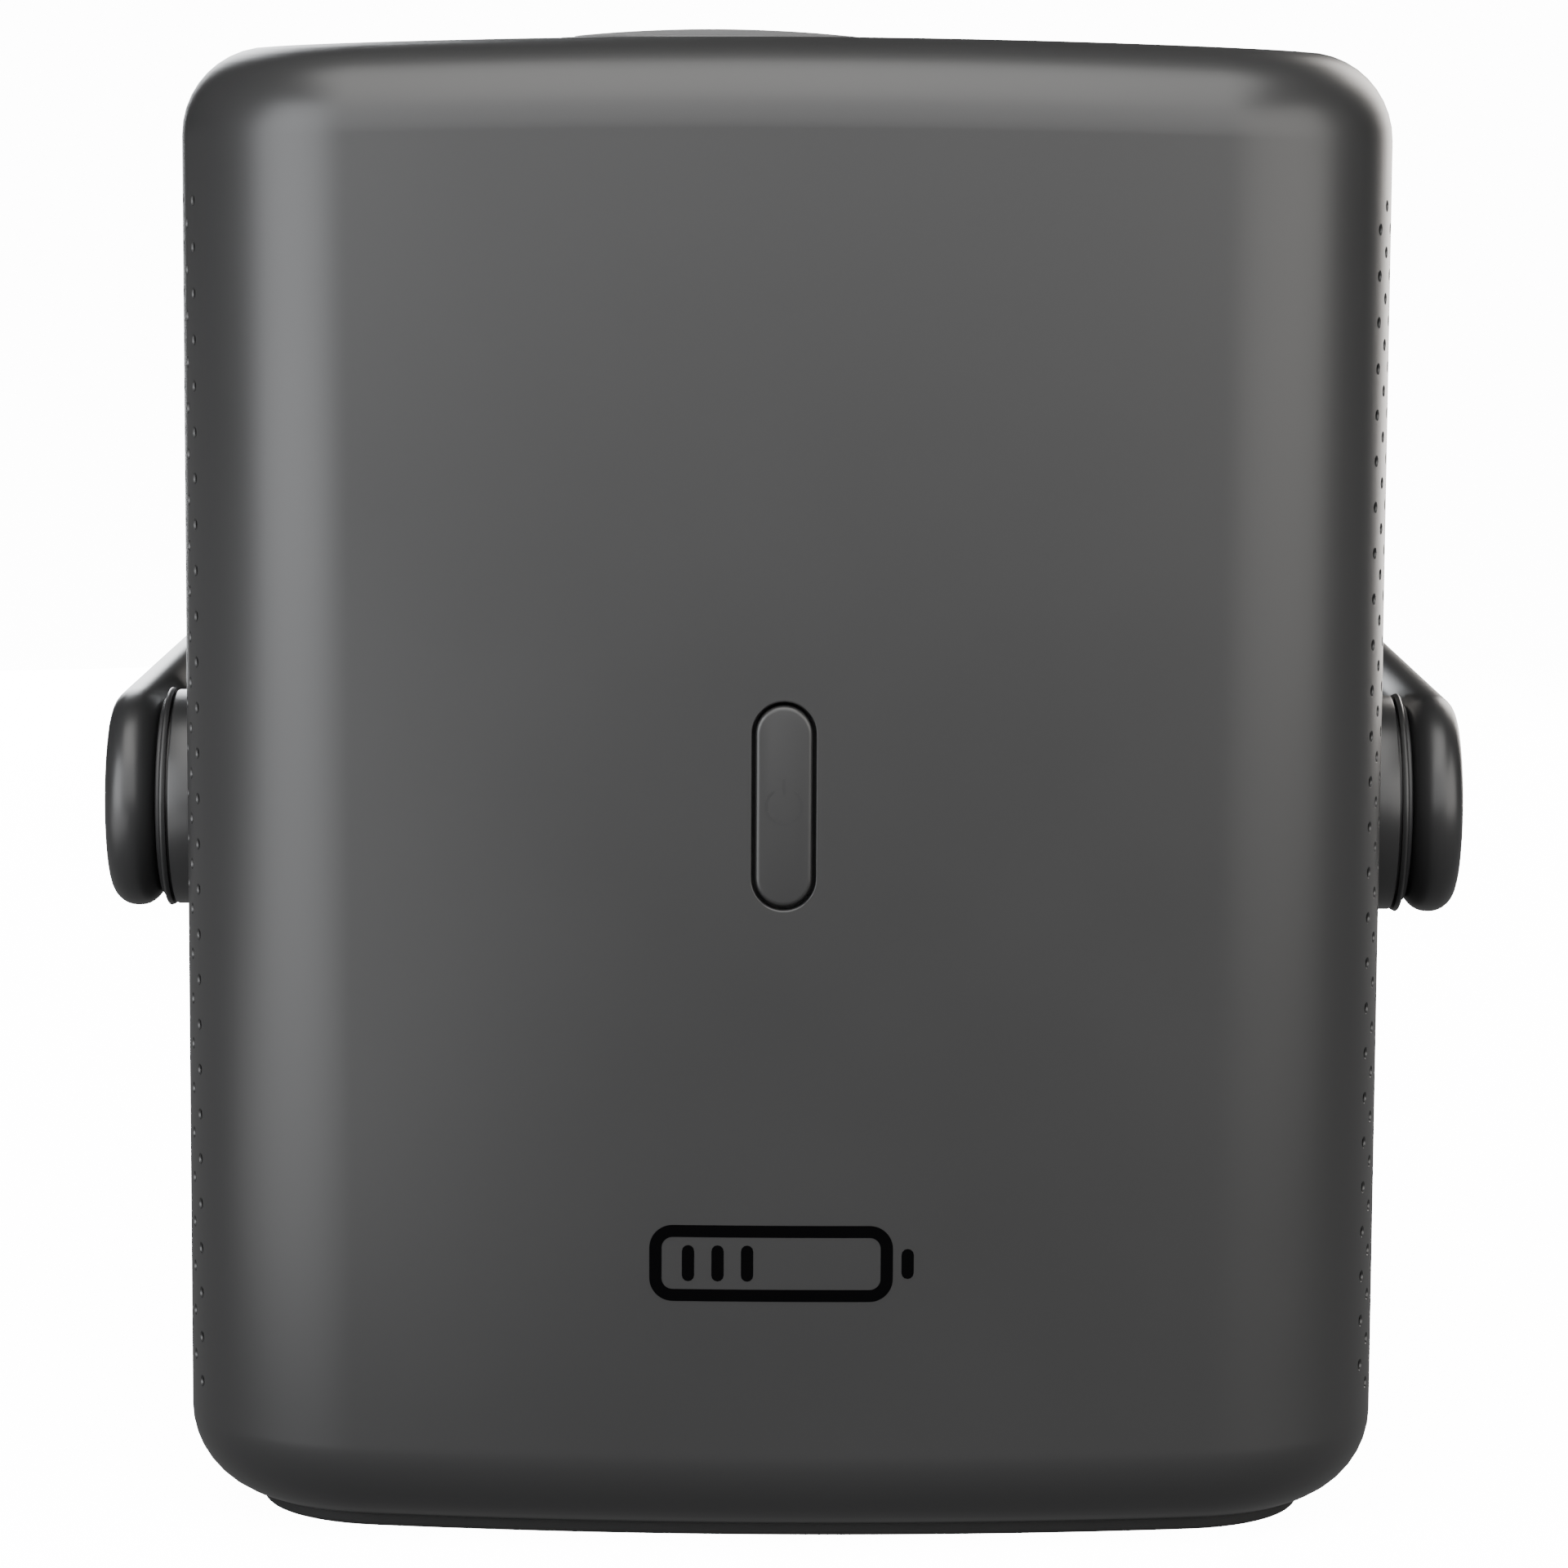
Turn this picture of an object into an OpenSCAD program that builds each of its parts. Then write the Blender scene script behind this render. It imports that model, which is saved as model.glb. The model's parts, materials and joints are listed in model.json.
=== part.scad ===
// Portable power station with a swinging carry handle.
// Frame: X to the right seen from the front, Y to the rear, Z up. The origin is the middle
// of the face that it stands on. The front face looks along -Y.

/* [Housing] */
// Width of the housing
body_w = 200; // [180:1:230]
// Depth of the housing
body_d = 150; // [140:1:180]
// Height of the housing without its foot
body_h = 244.3; // [225:0.1:280]
// Wall thickness of the housing
wall = 2.6; // [2:0.1:3.2]
// Radius of the upright corners
corner_r = 35; // [28:1:40]
// Radius of the rolled top and bottom edges
edge_r = 14.5; // [10:0.5:18]
// How far the top falls from its middle to its sides
top_crown = 1.9; // [0:0.1:2.5]
// Radius of the slight bulge of the front face
bulge_r = 480; // [400:10:900]
// Where the rear cover meets the front housing
split_y = 40; // [38:1:42]

/* [Foot] */
// How far the foot stands below the housing
foot_h = 2; // [1.5:0.5:4]
// How far the foot lies inside the housing's outline
foot_inset = 12; // [8:1:20]

/* [Power button] */
// Width of the power button
button_w = 9.2; // [8:0.1:11]
// Length of the power button
button_l = 32.6; // [28:0.1:36]
// Gap round the power button
button_gap = 0.6; // [0.4:0.1:0.8]
// How far the power button travels
button_travel = 0.8; // [0.4:0.1:1]
// Height of the power button's middle
button_z = 123.5; // [115:0.5:130]

/* [Handle] */
// Height of the pivot axis
pivot_z = 115; // [110:1:120]
// Diameter of the hub that holds the handle off the side
hub_d = 38; // [34:1:42]
// How far the hub stands out of the side
hub_len = 7; // [5:0.2:9]
// Thickness of the friction washer
washer_t = 0.8; // [0.6:0.1:1.4]
// Width of the handle's band
band_w = 38; // [36:1:42]
// Thickness of the handle's band
band_t = 8.8; // [8.4:0.2:14]
// Radius of the band's long edges
band_edge_r = 4.2; // [3:0.1:4.2]
// Clear distance from the pivot axis to the grip
handle_reach = 164; // [158:1:190]
// Inside radius of the handle's corners
handle_corner_r = 40; // [30:1:50]
// Radius of the pivot screw's shank
pin_r = 4; // [3:0.5:5]
// Running clearance of the handle on the pivot screw
pin_fit = 0.06; // [0.02:0.01:0.09]

/* [Charging pad] */
// Diameter of the wireless charging pad
pad_d = 54; // [52:1:72]
// How far the rim of the pad stands above the top
pad_h = 0.2; // [0.2:0.1:2]
// Radius of the crown on the pad
pad_crown_r = 240; // [200:10:600]
// How far the pad lies to the left of the middle
pad_x = -12; // [-16:1:0]

/* [Rear panel] */
// Width of the rear panel
panel_w = 138; // [136:1:140]
// Height of the rear panel
panel_h = 172; // [170:1:180]
// Corner radius of the rear panel
panel_r = 14; // [8:1:18]
// Thickness of the rear panel
panel_t = 2.4; // [2:0.1:3]
// How far the rear panel lies below the rear face
panel_sunk = 0.8; // [0.4:0.1:1.2]
// Radius of the mains socket's pin holes
mains_pin_r = 2.1; // [2:0.05:2.5]
// Bore radius of the 12 V socket
car_bore_r = 10.6; // [10.4:0.1:11]
// Depth of the 12 V socket
car_depth = 38; // [34:1:40]

/* [Battery] */
// Diameter of a cell
cell_d = 33.2; // [32:0.1:34]
// Length of a cell
cell_l = 140; // [120:1:142]
// Distance between the middles of two cells
cell_pitch = 34.6; // [34.4:0.1:36]

/* [Fan] */
// Side of the fan's square frame
fan_w = 60; // [50:5:60]
// Thickness of the fan
fan_t = 15; // [12:1:20]
// Number of fan blades
fan_blades = 7; // [5:1:9]

/* [Hidden] */
$fn = 64;

charcoal = "#47474a";
black = "#151516";
steel = "#b9bcc0";
copper = "#b87333";
board_green = "#1d5a3a";
wrap_blue = "#2f5f9e";

half_w = body_w / 2;
half_d = body_d / 2;
floor_z = foot_h;
top_z = foot_h + body_h;
touch = 0.02;                     // overlap that joins the pieces of one solid
slip = 0.2;                       // clearance round what is dropped into place
screw_r = 1.5;
screw_head_r = 2.8;
screw_head_h = 2.2;

// Outline of the housing: the bulged front is tangent to the front corners.
corner_x = half_w - corner_r;
bulge_y = bulge_r - half_d;
front_corner_y = bulge_y - sqrt(pow(bulge_r - corner_r, 2) - pow(corner_x, 2));
rear_corner_y = half_d - corner_r;
bulge_posts = 9;
bulge_angle = asin(corner_x / (bulge_r - corner_r));
roll_steps = 6;

// How far the top has fallen at a distance x from the middle.
function fall(x) = top_crown * pow(x / (half_w - edge_r), 2);

// Five lines from front to rear carry that crown.
function ridge_x(i) = i * corner_x / 3;

// Side profile of a post: a straight side between two rolled edges, kept "inset" inside,
// with its top "drop" lower than the middle of the housing.
function post_profile(r, inset, drop) =
    let (e = edge_r - inset, low = floor_z + inset + e, high = top_z - drop - inset - e)
    concat(
        [[0, low - e]],
        [for (i = [0:roll_steps]) let (a = 90 * i / roll_steps)
            [r - inset - e + e * sin(a), low - e * cos(a)]],
        [for (i = [0:roll_steps]) let (a = 90 * i / roll_steps)
            [r - inset - e + e * cos(a), high + e * sin(a)]],
        [[0, high + e]]
    );

module post(r, inset, drop) {
    rotate_extrude($fn = 48) polygon(post_profile(r, inset, drop));
}

// The housing's outer shape, or with an inset the space inside it.
module housing_shape(inset = 0) {
    hull() {
        for (x = [-1, 1]) {
            translate([x * corner_x, front_corner_y, 0]) post(corner_r, inset, top_crown);
            translate([x * corner_x, rear_corner_y, 0]) post(corner_r, inset, top_crown);
        }
        // ridges that carry the crown of the top back to the rear
        for (i = [-2:2]) translate([ridge_x(i), 0, top_z - fall(ridge_x(i)) - inset - 1])
            upright(half_d - edge_r) square([0.01, 1]);
        for (i = [1:bulge_posts - 2]) {
            a = bulge_angle * (2 * i / (bulge_posts - 1) - 1);
            translate([(bulge_r - edge_r) * sin(a), bulge_y - (bulge_r - edge_r) * cos(a), 0])
                post(edge_r, inset, fall((bulge_r - edge_r) * sin(a)));
        }
    }
}

// Outline of the housing where the cover meets it, in X and Z, kept "inset" inside.
function split_outline(inset) =
    let (e = edge_r - inset, x = half_w - edge_r, low = floor_z + edge_r,
         high = top_z - top_crown - edge_r, step = 90 / roll_steps)
    concat(
        [for (a = [0:step:90]) [x + e * sin(a), low - e * cos(a)]],
        [for (a = [0:step:90]) [x + e * cos(a), high + e * sin(a)]],
        [for (i = [2:-1:-2]) [ridge_x(i), top_z - fall(ridge_x(i)) - inset]],
        [for (a = [0:step:90]) [-x - e * sin(a), high + e * cos(a)]],
        [for (a = [0:step:90]) [-x - e * cos(a), low - e * sin(a)]]
    );

module split_ring(outer, inner) {
    difference() {
        polygon(split_outline(outer));
        polygon(split_outline(inner));
    }
}

module rounded_square(size, r) {
    x = size[0] / 2 - r;
    y = size[1] / 2 - r;
    square([size[0], 2 * y], center = true);
    square([2 * x, size[1]], center = true);
    for (i = [-1, 1], j = [-1, 1]) translate([i * x, j * y]) circle(r);
}

// A slab in an upright plane: drawn in X and Z, "deep" along +Y from y = 0.
module upright(deep) {
    translate([0, deep, 0]) rotate([90, 0, 0]) linear_extrude(deep) children();
}

module rod_x(r, length) { rotate([0, 90, 0]) cylinder(r = r, h = length); }
module rod_y(r, length) { rotate([-90, 0, 0]) cylinder(r = r, h = length); }

module both_sides() {
    children();
    mirror([1, 0, 0]) children();
}

module box_at(low, high) { translate(low) cube(high - low); }

module countersunk_screw(length) {
    cylinder(r = screw_head_r, h = screw_head_h, $fn = 32);
    translate([0, 0, screw_head_h - touch]) cylinder(r = screw_r, h = length - screw_head_h, $fn = 32);
}

// ---- Housing ----

lip_t = 1.4;
lip_len = 5;
lip_rim = 2;
hub_spigot_r = 11;
inside_x = half_w - wall;
inside_low_z = floor_z + wall;
inside_high_z = top_z - wall;
cover_boss_r = 4.5;
cover_boss_x = 54;
cover_boss_z = [floor_z + edge_r + 8, top_z - edge_r - 8];
cover_boss_y = [split_y - 16, split_y - 1];
boss_rib_t = 2.4;

module at_cover_bosses() {
    for (x = [-1, 1], z = cover_boss_z) translate([x * cover_boss_x, 0, z]) children();
}

module pill(width, length) {
    hull_length = length - width;
    square([width, hull_length], center = true);
    for (s = [-1, 1]) translate([0, s * hull_length / 2]) circle(width / 2);
}

pad_y = -4;
pad_seat = 1.2;                   // depth of the recess that holds the pad
foot_seat = 1;                    // depth of the recess that holds the foot
outline_steps = 16;
foot_screw_x = half_w - foot_inset - 14;
foot_screw_y = half_d - foot_inset - 14;

// Points along an arc, for outlines that are one chain of points.
function arc_points(centre, r, from, to, steps, first = 0) =
    [for (i = [first : steps]) let (a = from + (to - from) * i / steps) centre + r * [cos(a), sin(a)]];

// The foot follows the housing's outline: round corners, straight sides and the bulged front.
module foot_outline(grow = 0) {
    r = corner_r - foot_inset + grow;
    corner_start = 270 + bulge_angle;
    right = concat(
        arc_points([0, bulge_y], bulge_r - foot_inset + grow, 270, corner_start, outline_steps),
        arc_points([corner_x, front_corner_y], r, corner_start, 360, outline_steps, 1),
        arc_points([corner_x, rear_corner_y], r, 0, 90, outline_steps)
    );
    left = [for (i = [len(right) - 1 : -1 : 1]) [-right[i][0], right[i][1]]];
    polygon(concat(right, left));
}

module at_foot_screws() {
    for (x = [-1, 1], y = [-1, 1]) translate([x * foot_screw_x, y * foot_screw_y, 0]) children();
}

// Posts on the right wall that carry the fan.
module at_fan_screws() {
    for (i = [-1, 1], j = [-1, 1])
        translate([0, fan_y + i * fan_screw_at, fan_z + j * fan_screw_at]) children();
}

module front_housing() {
    color(charcoal) {
        difference() {
            housing_shape();
            housing_shape(wall);
            box_at([-body_w, split_y, -1], [body_w, body_d, top_z + 1]);
            translate([0, -half_d - 1, button_z]) upright(wall + 3)
                pill(button_w + 2 * button_gap, button_l + 2 * button_gap);
            both_sides() translate([inside_x - 3, 0, pivot_z]) rod_x(hub_spigot_r + 0.1, wall + 6);
            translate([pad_x, pad_y, top_z - pad_seat]) cylinder(d = pad_d + 2 * slip, h = 5);
            translate([0, 0, floor_z - 1]) linear_extrude(foot_seat + 1) foot_outline(slip);
            at_foot_screws() translate([0, 0, floor_z - 1]) cylinder(r = screw_r, h = wall + 3);
        }
        // bosses for the rear cover's screws, on ribs from the floor and the top
        difference() {
            union() {
                at_cover_bosses() translate([0, cover_boss_y[0], 0])
                    rod_y(cover_boss_r, cover_boss_y[1] - cover_boss_y[0]);
                for (x = [-1, 1] * cover_boss_x) {
                    box_at([x - boss_rib_t / 2, cover_boss_y[0], inside_low_z - touch],
                           [x + boss_rib_t / 2, cover_boss_y[1] - lip_len, cover_boss_z[0]]);
                    box_at([x - boss_rib_t / 2, cover_boss_y[0], cover_boss_z[1]],
                           [x + boss_rib_t / 2, cover_boss_y[1] - lip_len, inside_high_z + touch]);
                }
            }
            at_cover_bosses() translate([0, cover_boss_y[0] - 1, 0]) rod_y(screw_r, 30);
        }
        difference() {
            at_fan_screws() translate([fan_x + fan_t, 0, 0]) rod_x(3, inside_x - fan_x - fan_t + touch);
            at_fan_screws() translate([fan_x, 0, 0]) rod_x(1.6, fan_t + 3.4);
        }
    }
}

cover_screw_y = half_d - 6;       // the face that a cover screw's head seats on
cover_tube_r = 4.5;
panel_seat_t = 2.2;

module rear_cover() {
    color(charcoal) {
        difference() {
            union() {
                difference() {
                    housing_shape();
                    housing_shape(wall);
                    box_at([-body_w, -body_d, -1], [body_w, split_y, top_z + 1]);
                }
                // the lip that locates the cover in the front housing, on a rim that joins the wall
                translate([0, split_y - lip_len, 0]) upright(lip_len + lip_rim)
                    split_ring(wall + slip, wall + slip + lip_t);
                translate([0, split_y + 0.05, 0]) upright(lip_rim - 0.05)
                    split_ring(wall - 0.5, wall + slip + lip_t);
                at_cover_bosses() translate([0, split_y, 0])
                    rod_y(cover_tube_r, half_d - wall + touch - split_y);
                for (x = [-1, 1]) translate([x * foot_screw_x, foot_screw_y, inside_low_z - touch])
                    cylinder(r = 4, h = 5);
                // seat for the rear panel
                translate([0, panel_back_y - panel_seat_t, panel_mid_z])
                    upright(half_d - wall + touch - panel_back_y + panel_seat_t)
                    rounded_square([panel_w + 5, panel_h + 5], panel_r + 2);
            }
            translate([0, panel_back_y, panel_mid_z])
                upright(10) rounded_square([panel_w + 2 * slip, panel_h + 2 * slip], panel_r + slip);
            translate([0, split_y - 1, panel_mid_z])
                upright(body_d) rounded_square([panel_w - 8, panel_h - 8], panel_r - 4);
            at_cover_bosses() translate([0, split_y - 1, 0]) rod_y(screw_r + 0.2, body_d);
            at_cover_bosses() translate([0, cover_screw_y, 0]) rod_y(screw_head_r + 0.3, body_d);
            translate([0, 0, floor_z - 1]) linear_extrude(foot_seat + 1) foot_outline(slip);
            at_foot_screws() translate([0, 0, floor_z - 1]) cylinder(r = screw_r, h = wall + 7);
        }
    }
}

module cover_screws() {
    color(steel) at_cover_bosses() translate([0, cover_screw_y + screw_head_h, 0]) rotate([90, 0, 0])
        countersunk_screw(cover_screw_y + screw_head_h - cover_boss_y[0] - 3);
}

module base_foot() {
    color(black) difference() {
        linear_extrude(foot_h + foot_seat - touch) foot_outline();
        at_foot_screws() translate([0, 0, -1]) cylinder(r = screw_head_r + 0.2, h = 1 + screw_head_h + 0.4);
        at_foot_screws() cylinder(r = screw_r + 0.2, h = 10);
    }
}

module foot_screws() {
    color(steel) at_foot_screws() translate([0, 0, 0.4]) countersunk_screw(foot_h + wall + 2);
}

// ---- Power button ----

flange = 1.4;                      // rim behind the slot that keeps the button in
flange_t = 1.2;
flange_y = wall - half_d + 0.3;
stem_end_y = flange_y + flange_t + 3;
switch_y = stem_end_y + button_travel + 1.2;
switch_t = 2.6;
switch_w = 6;
board_t = 1.6;
board_y = switch_y + switch_t;
guide_y = flange_y + flange_t + button_travel + 0.3;
guide_t = 1.4;
guide_rim = 2;

module power_button() {
    color(charcoal) {
        intersection() {
            housing_shape();
            translate([0, -half_d - 1, button_z]) upright(1 + half_d + flange_y + touch)
                pill(button_w, button_l);
        }
        translate([0, flange_y, button_z]) upright(flange_t)
            pill(button_w + 2 * flange, button_l + 2 * flange);
        translate([0, flange_y + flange_t - touch, button_z]) rod_y(1.5, stem_end_y - flange_y - flange_t);
    }
}

module button_guide() {
    w = button_w + 2 * flange + 0.8;
    l = button_l + 2 * flange + 0.8;
    color(black) {
        difference() {
            translate([0, flange_y + 0.1, button_z]) upright(guide_y + guide_t - flange_y - 0.1)
                pill(w + 2 * guide_rim, l + 2 * guide_rim);
            translate([0, -half_d, button_z]) upright(guide_y + half_d) pill(w, l);
            translate([0, -half_d, button_z]) rod_y(2.6, 20);
        }
        // legs that carry the switch's board
        for (z = [-1, 1]) translate([0, guide_y + guide_t - touch, button_z + z * (l / 2 - 3)])
            rod_y(2.4, board_y - guide_y - guide_t);
    }
}

module button_board() {
    color(board_green) box_at([-9, board_y, button_z - button_l / 2 - 6],
                              [9, board_y + board_t, button_z + button_l / 2 + 6]);
}

// One push switch behind each button.
module push_switches() {
    color(steel) {
        translate([0, 0, button_z]) {
            box_at([-switch_w / 2, switch_y, -switch_w / 2], [switch_w / 2, board_y - touch, switch_w / 2]);
            translate([0, stem_end_y + button_travel + 0.2, 0]) rod_y(1.6, 1 + touch);
        }
        for (at = small_button_at) on_panel(at[0], at[1])
            box_at([-switch_w / 2, port_board_y, -switch_w / 2],
                   [switch_w / 2, port_board_y + small_switch_t, switch_w / 2]);
    }
}

// ---- Handle and its pivots ----

hub_face_x = half_w + hub_len;
band_in_x = hub_face_x + washer_t + 0.1;
band_out_x = band_in_x + band_t;
cap_r = 9;
cap_t = 1.6;
screw_head_big_r = 8;
screw_head_big_h = 2.6;
hub_round = 2;
hub_inner_x = inside_x + 0.2;
nut_t = 3;
nut_r = 14.5;

// Section of the band, from its inside face at 0 to its outside face at band_t.
module band_section() {
    translate([band_t / 2, 0]) rounded_square([band_t, band_w], band_edge_r);
}

// The half-round end of an arm, turned about the pivot axis. The stretches of the handle
// meet face to face, so their rounded edges run on without a step.
module arm_end() {
    translate([band_in_x, 0, pivot_z]) rotate([0, 90, 0]) rotate(180)
        rotate_extrude(angle = 180) intersection() {
            square([band_w, band_t]);
            translate([0, band_t / 2]) rounded_square([band_w, band_t], band_edge_r);
        }
}

arm_len = handle_reach - handle_corner_r;

module handle() {
    color(charcoal) difference() {
        union() {
            both_sides() {
                arm_end();
                translate([band_in_x, 0, pivot_z]) rotate([-90, 0, 0])
                    linear_extrude(arm_len) band_section();
                translate([band_in_x - handle_corner_r, arm_len, pivot_z])
                    rotate_extrude(angle = 90) translate([handle_corner_r, 0]) band_section();
            }
            translate([-(band_in_x - handle_corner_r), handle_reach, pivot_z]) rotate([90, 0, 90])
                linear_extrude(2 * (band_in_x - handle_corner_r)) band_section();
        }
        both_sides() {
            translate([band_in_x - 1, 0, pivot_z]) rod_x(pin_r + pin_fit, band_t + 2);
            translate([band_out_x - cap_t - screw_head_big_h - 0.3, 0, pivot_z])
                rod_x(screw_head_big_r + 0.3, band_t);
            translate([band_out_x - cap_t, 0, pivot_z]) rod_x(cap_r + 0.05, band_t);
        }
        grip_recess(0);
    }
}

grip_len = 96;
grip_t = 1.2;

// The shallow bed on the inside of the grip bar that takes the soft strip.
module grip_recess(gap) {
    translate([0, handle_reach - 1, pivot_z]) upright(1 + grip_t - gap)
        rotate(90) pill(band_w - 14 - 2 * gap, grip_len - 2 * gap);
}

module handle_grip() {
    color(black) intersection() {
        grip_recess(0.05);
        box_at([-body_w, handle_reach - 0.5, 0], [body_w, handle_reach + grip_t, top_z]);
    }
}

module pivot_hub() {
    color(charcoal) translate([half_w, 0, pivot_z]) difference() {
        union() {
            rotate([0, 90, 0]) rotate_extrude() {
                square([hub_d / 2, hub_len - hub_round]);
                square([hub_d / 2 - hub_round, hub_len]);
                translate([hub_d / 2 - hub_round, hub_len - hub_round]) circle(hub_round);
            }
            translate([hub_inner_x - half_w, 0, 0]) rod_x(hub_spigot_r, half_w - hub_inner_x + touch);
        }
        translate([hub_inner_x - half_w - 1, 0, 0]) rod_x(pin_r + 0.02, body_w);
    }
}

module left_pivot_hub() { mirror([1, 0, 0]) pivot_hub(); }
module right_pivot_hub() { pivot_hub(); }

module friction_washer() {
    color(black) translate([hub_face_x + 0.02, 0, pivot_z]) difference() {
        rod_x(hub_d / 2 - 0.6, washer_t);
        translate([-1, 0, 0]) rod_x(pin_r + 0.1, washer_t + 2);
    }
}

module left_friction_washer() { mirror([1, 0, 0]) friction_washer(); }
module right_friction_washer() { friction_washer(); }

pivot_screw_in_x = inside_x - nut_t - 2;

module pivot_screw() {
    head_x = band_out_x - cap_t - screw_head_big_h - 0.1;
    color(steel) translate([0, 0, pivot_z]) {
        translate([pivot_screw_in_x, 0, 0]) rod_x(pin_r, head_x - pivot_screw_in_x + touch);
        translate([head_x, 0, 0]) difference() {
            rod_x(screw_head_big_r, screw_head_big_h - 0.1);
            translate([0.8, 0, 0]) rotate([0, 90, 0]) cylinder(r = 2.9, h = 5, $fn = 6);
        }
    }
}

module left_pivot_screw() { mirror([1, 0, 0]) pivot_screw(); }
module right_pivot_screw() { pivot_screw(); }

module hub_nut() {
    color(steel) translate([inside_x - nut_t - touch, 0, pivot_z]) difference() {
        rotate([0, 90, 0]) cylinder(r = nut_r, h = nut_t, $fn = 6);
        translate([-1, 0, 0]) rod_x(pin_r + touch, nut_t + 2);
    }
}

module left_hub_nut() { mirror([1, 0, 0]) hub_nut(); }
module right_hub_nut() { hub_nut(); }

module pivot_cap() {
    color(charcoal) translate([band_out_x - cap_t, 0, pivot_z]) rod_x(cap_r, cap_t);
}

module left_pivot_cap() { mirror([1, 0, 0]) pivot_cap(); }
module right_pivot_cap() { pivot_cap(); }

// ---- Charging pad on the top ----

pad_floor_z = top_z - pad_seat;
pad_ring_w = 2.4;
pad_ring_round = 0.5;
pad_crown_h = pad_crown_r - sqrt(pow(pad_crown_r, 2) - pow(pad_d / 2, 2));

// A low crowned disc: its top is part of a large sphere.
module charging_pad() {
    color(black) translate([pad_x, pad_y, pad_floor_z]) rotate_extrude() intersection() {
        square([pad_d / 2 - pad_ring_w - 0.1, pad_d]);
        translate([0, pad_seat + pad_h + pad_crown_h - pad_crown_r]) circle(pad_crown_r, $fn = 360);
    }
}

module pad_ring() {
    r = pad_d / 2 - pad_ring_round;
    h = pad_seat + pad_h;
    color(charcoal) translate([pad_x, pad_y, pad_floor_z]) rotate_extrude() intersection() {
        translate([pad_d / 2 - pad_ring_w, 0]) square([pad_ring_w, 2 * h]);
        union() {
            square([pad_d / 2, h - pad_ring_round]);
            square([r, h]);
            translate([r, h - pad_ring_round]) circle(pad_ring_round);
        }
    }
}

coil_r = [10, 22];
coil_t = 1.4;
shield_r = 25;
shield_t = 1;
// The coil hangs clear of the top's inside, which is lowest at the shield's far edge.
coil_z = inside_high_z - fall(abs(pad_x) + shield_r) - 0.3 - coil_t;

module charging_coil() {
    color(copper) translate([pad_x, pad_y, coil_z]) difference() {
        cylinder(r = coil_r[1], h = coil_t);
        translate([0, 0, -1]) cylinder(r = coil_r[0], h = coil_t + 2);
    }
}

module coil_shield() {
    color(black) translate([pad_x, pad_y, coil_z - shield_t]) cylinder(r = shield_r, h = shield_t - touch);
}

// ---- Rear panel and its ports ----

panel_mid_z = floor_z + body_h / 2;
panel_face_y = half_d - panel_sunk;
panel_back_y = panel_face_y - panel_t;

lamp_z = panel_mid_z + 74;
lamp_size = [92, 7];
display_z = panel_mid_z + 46;
display_size = [76, 36];
row_z = panel_mid_z + 16;
mains_x = 34;
mains_z = [panel_mid_z - 16, panel_mid_z - 54];
mains_size = [50, 30];
usb_a_x = [-56, -38];
usb_c_x = [-55, -40];
usb_a_z = panel_mid_z - 1;
usb_c_z = row_z;
dc_jack_x = [-55, -39];
dc_jack_z = panel_mid_z - 18;
car_x = -42;
car_z = panel_mid_z - 51;
car_flange_r = 15;
small_button_r = 5.5;
ac_button_at = [mains_x, row_z];
dc_button_at = [-14, usb_a_z];
lamp_button_at = [-14, row_z];
small_button_at = [ac_button_at, dc_button_at, lamp_button_at];
small_travel = 0.6;
small_switch_t = 1.6;
dc_jack_r = 3.1;
dc_jack_body_r = 5;
car_wall = 2;
port_post_r = 2.4;
port_posts = [[-62, -25], [-62, 24.8], [2, -25], [2, 24.8], [58, 24.8]];

module on_panel(x, z) { translate([x, 0, z]) children(); }

module panel_cutter(size, r) {
    translate([0, panel_back_y - 1, 0]) upright(panel_t + 4)
        rounded_square([size[0] + 2 * slip, size[1] + 2 * slip], r);
}

module panel_hole(r) { translate([0, panel_back_y - 1, 0]) rod_y(r, panel_t + 4); }

module rear_panel() {
    color(black) {
        difference() {
            translate([0, panel_back_y, panel_mid_z]) upright(panel_t)
                rounded_square([panel_w, panel_h], panel_r);
            on_panel(0, display_z) panel_cutter(display_size, 3);
            on_panel(0, lamp_z) panel_cutter(lamp_size, 3.4);
            for (z = mains_z) on_panel(mains_x, z) panel_cutter(mains_size, 5);
            for (x = usb_a_x) on_panel(x, usb_a_z) panel_cutter([13.6, 6], 0.8);
            for (x = usb_c_x) on_panel(x, usb_c_z) panel_cutter([9.2, 3.4], 1.6);
            for (x = dc_jack_x) on_panel(x, dc_jack_z) panel_hole(dc_jack_body_r + slip);
            on_panel(car_x, car_z) panel_hole(car_bore_r + car_wall + slip);
            for (at = small_button_at) on_panel(at[0], at[1]) panel_hole(small_button_r + 0.3);
        }
        // posts that carry the port board
        for (at = port_posts) on_panel(at[0], panel_mid_z + at[1])
            translate([0, port_board_y, 0]) rod_y(port_post_r, panel_back_y - port_board_y + touch);
    }
}

module display_window() {
    color("#0b0d10") on_panel(0, display_z) translate([0, panel_back_y, 0])
        upright(panel_t) rounded_square(display_size, 2.8);
}

module display_module() {
    color(board_green) on_panel(0, display_z)
        box_at([-34, panel_back_y - 5, -15], [34, panel_back_y - touch, 15]);
}

module lamp_lens() {
    color("#e8e8e2") on_panel(0, lamp_z) translate([0, panel_back_y, 0])
        upright(panel_t + 0.4) rounded_square(lamp_size, 3.2);
}

module lamp_board() {
    color("white") on_panel(0, lamp_z)
        box_at([-lamp_size[0] / 2, panel_back_y - 2.6, -4], [lamp_size[0] / 2, panel_back_y - touch, 4]);
}

// Outline of the recess that a three-pin mains plug drops into.
mains_recess = [34, 17];
mains_depth = 9;
mains_body = 24;
mains_pin_pitch = 19;
mains_earth_drop = 3;

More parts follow.
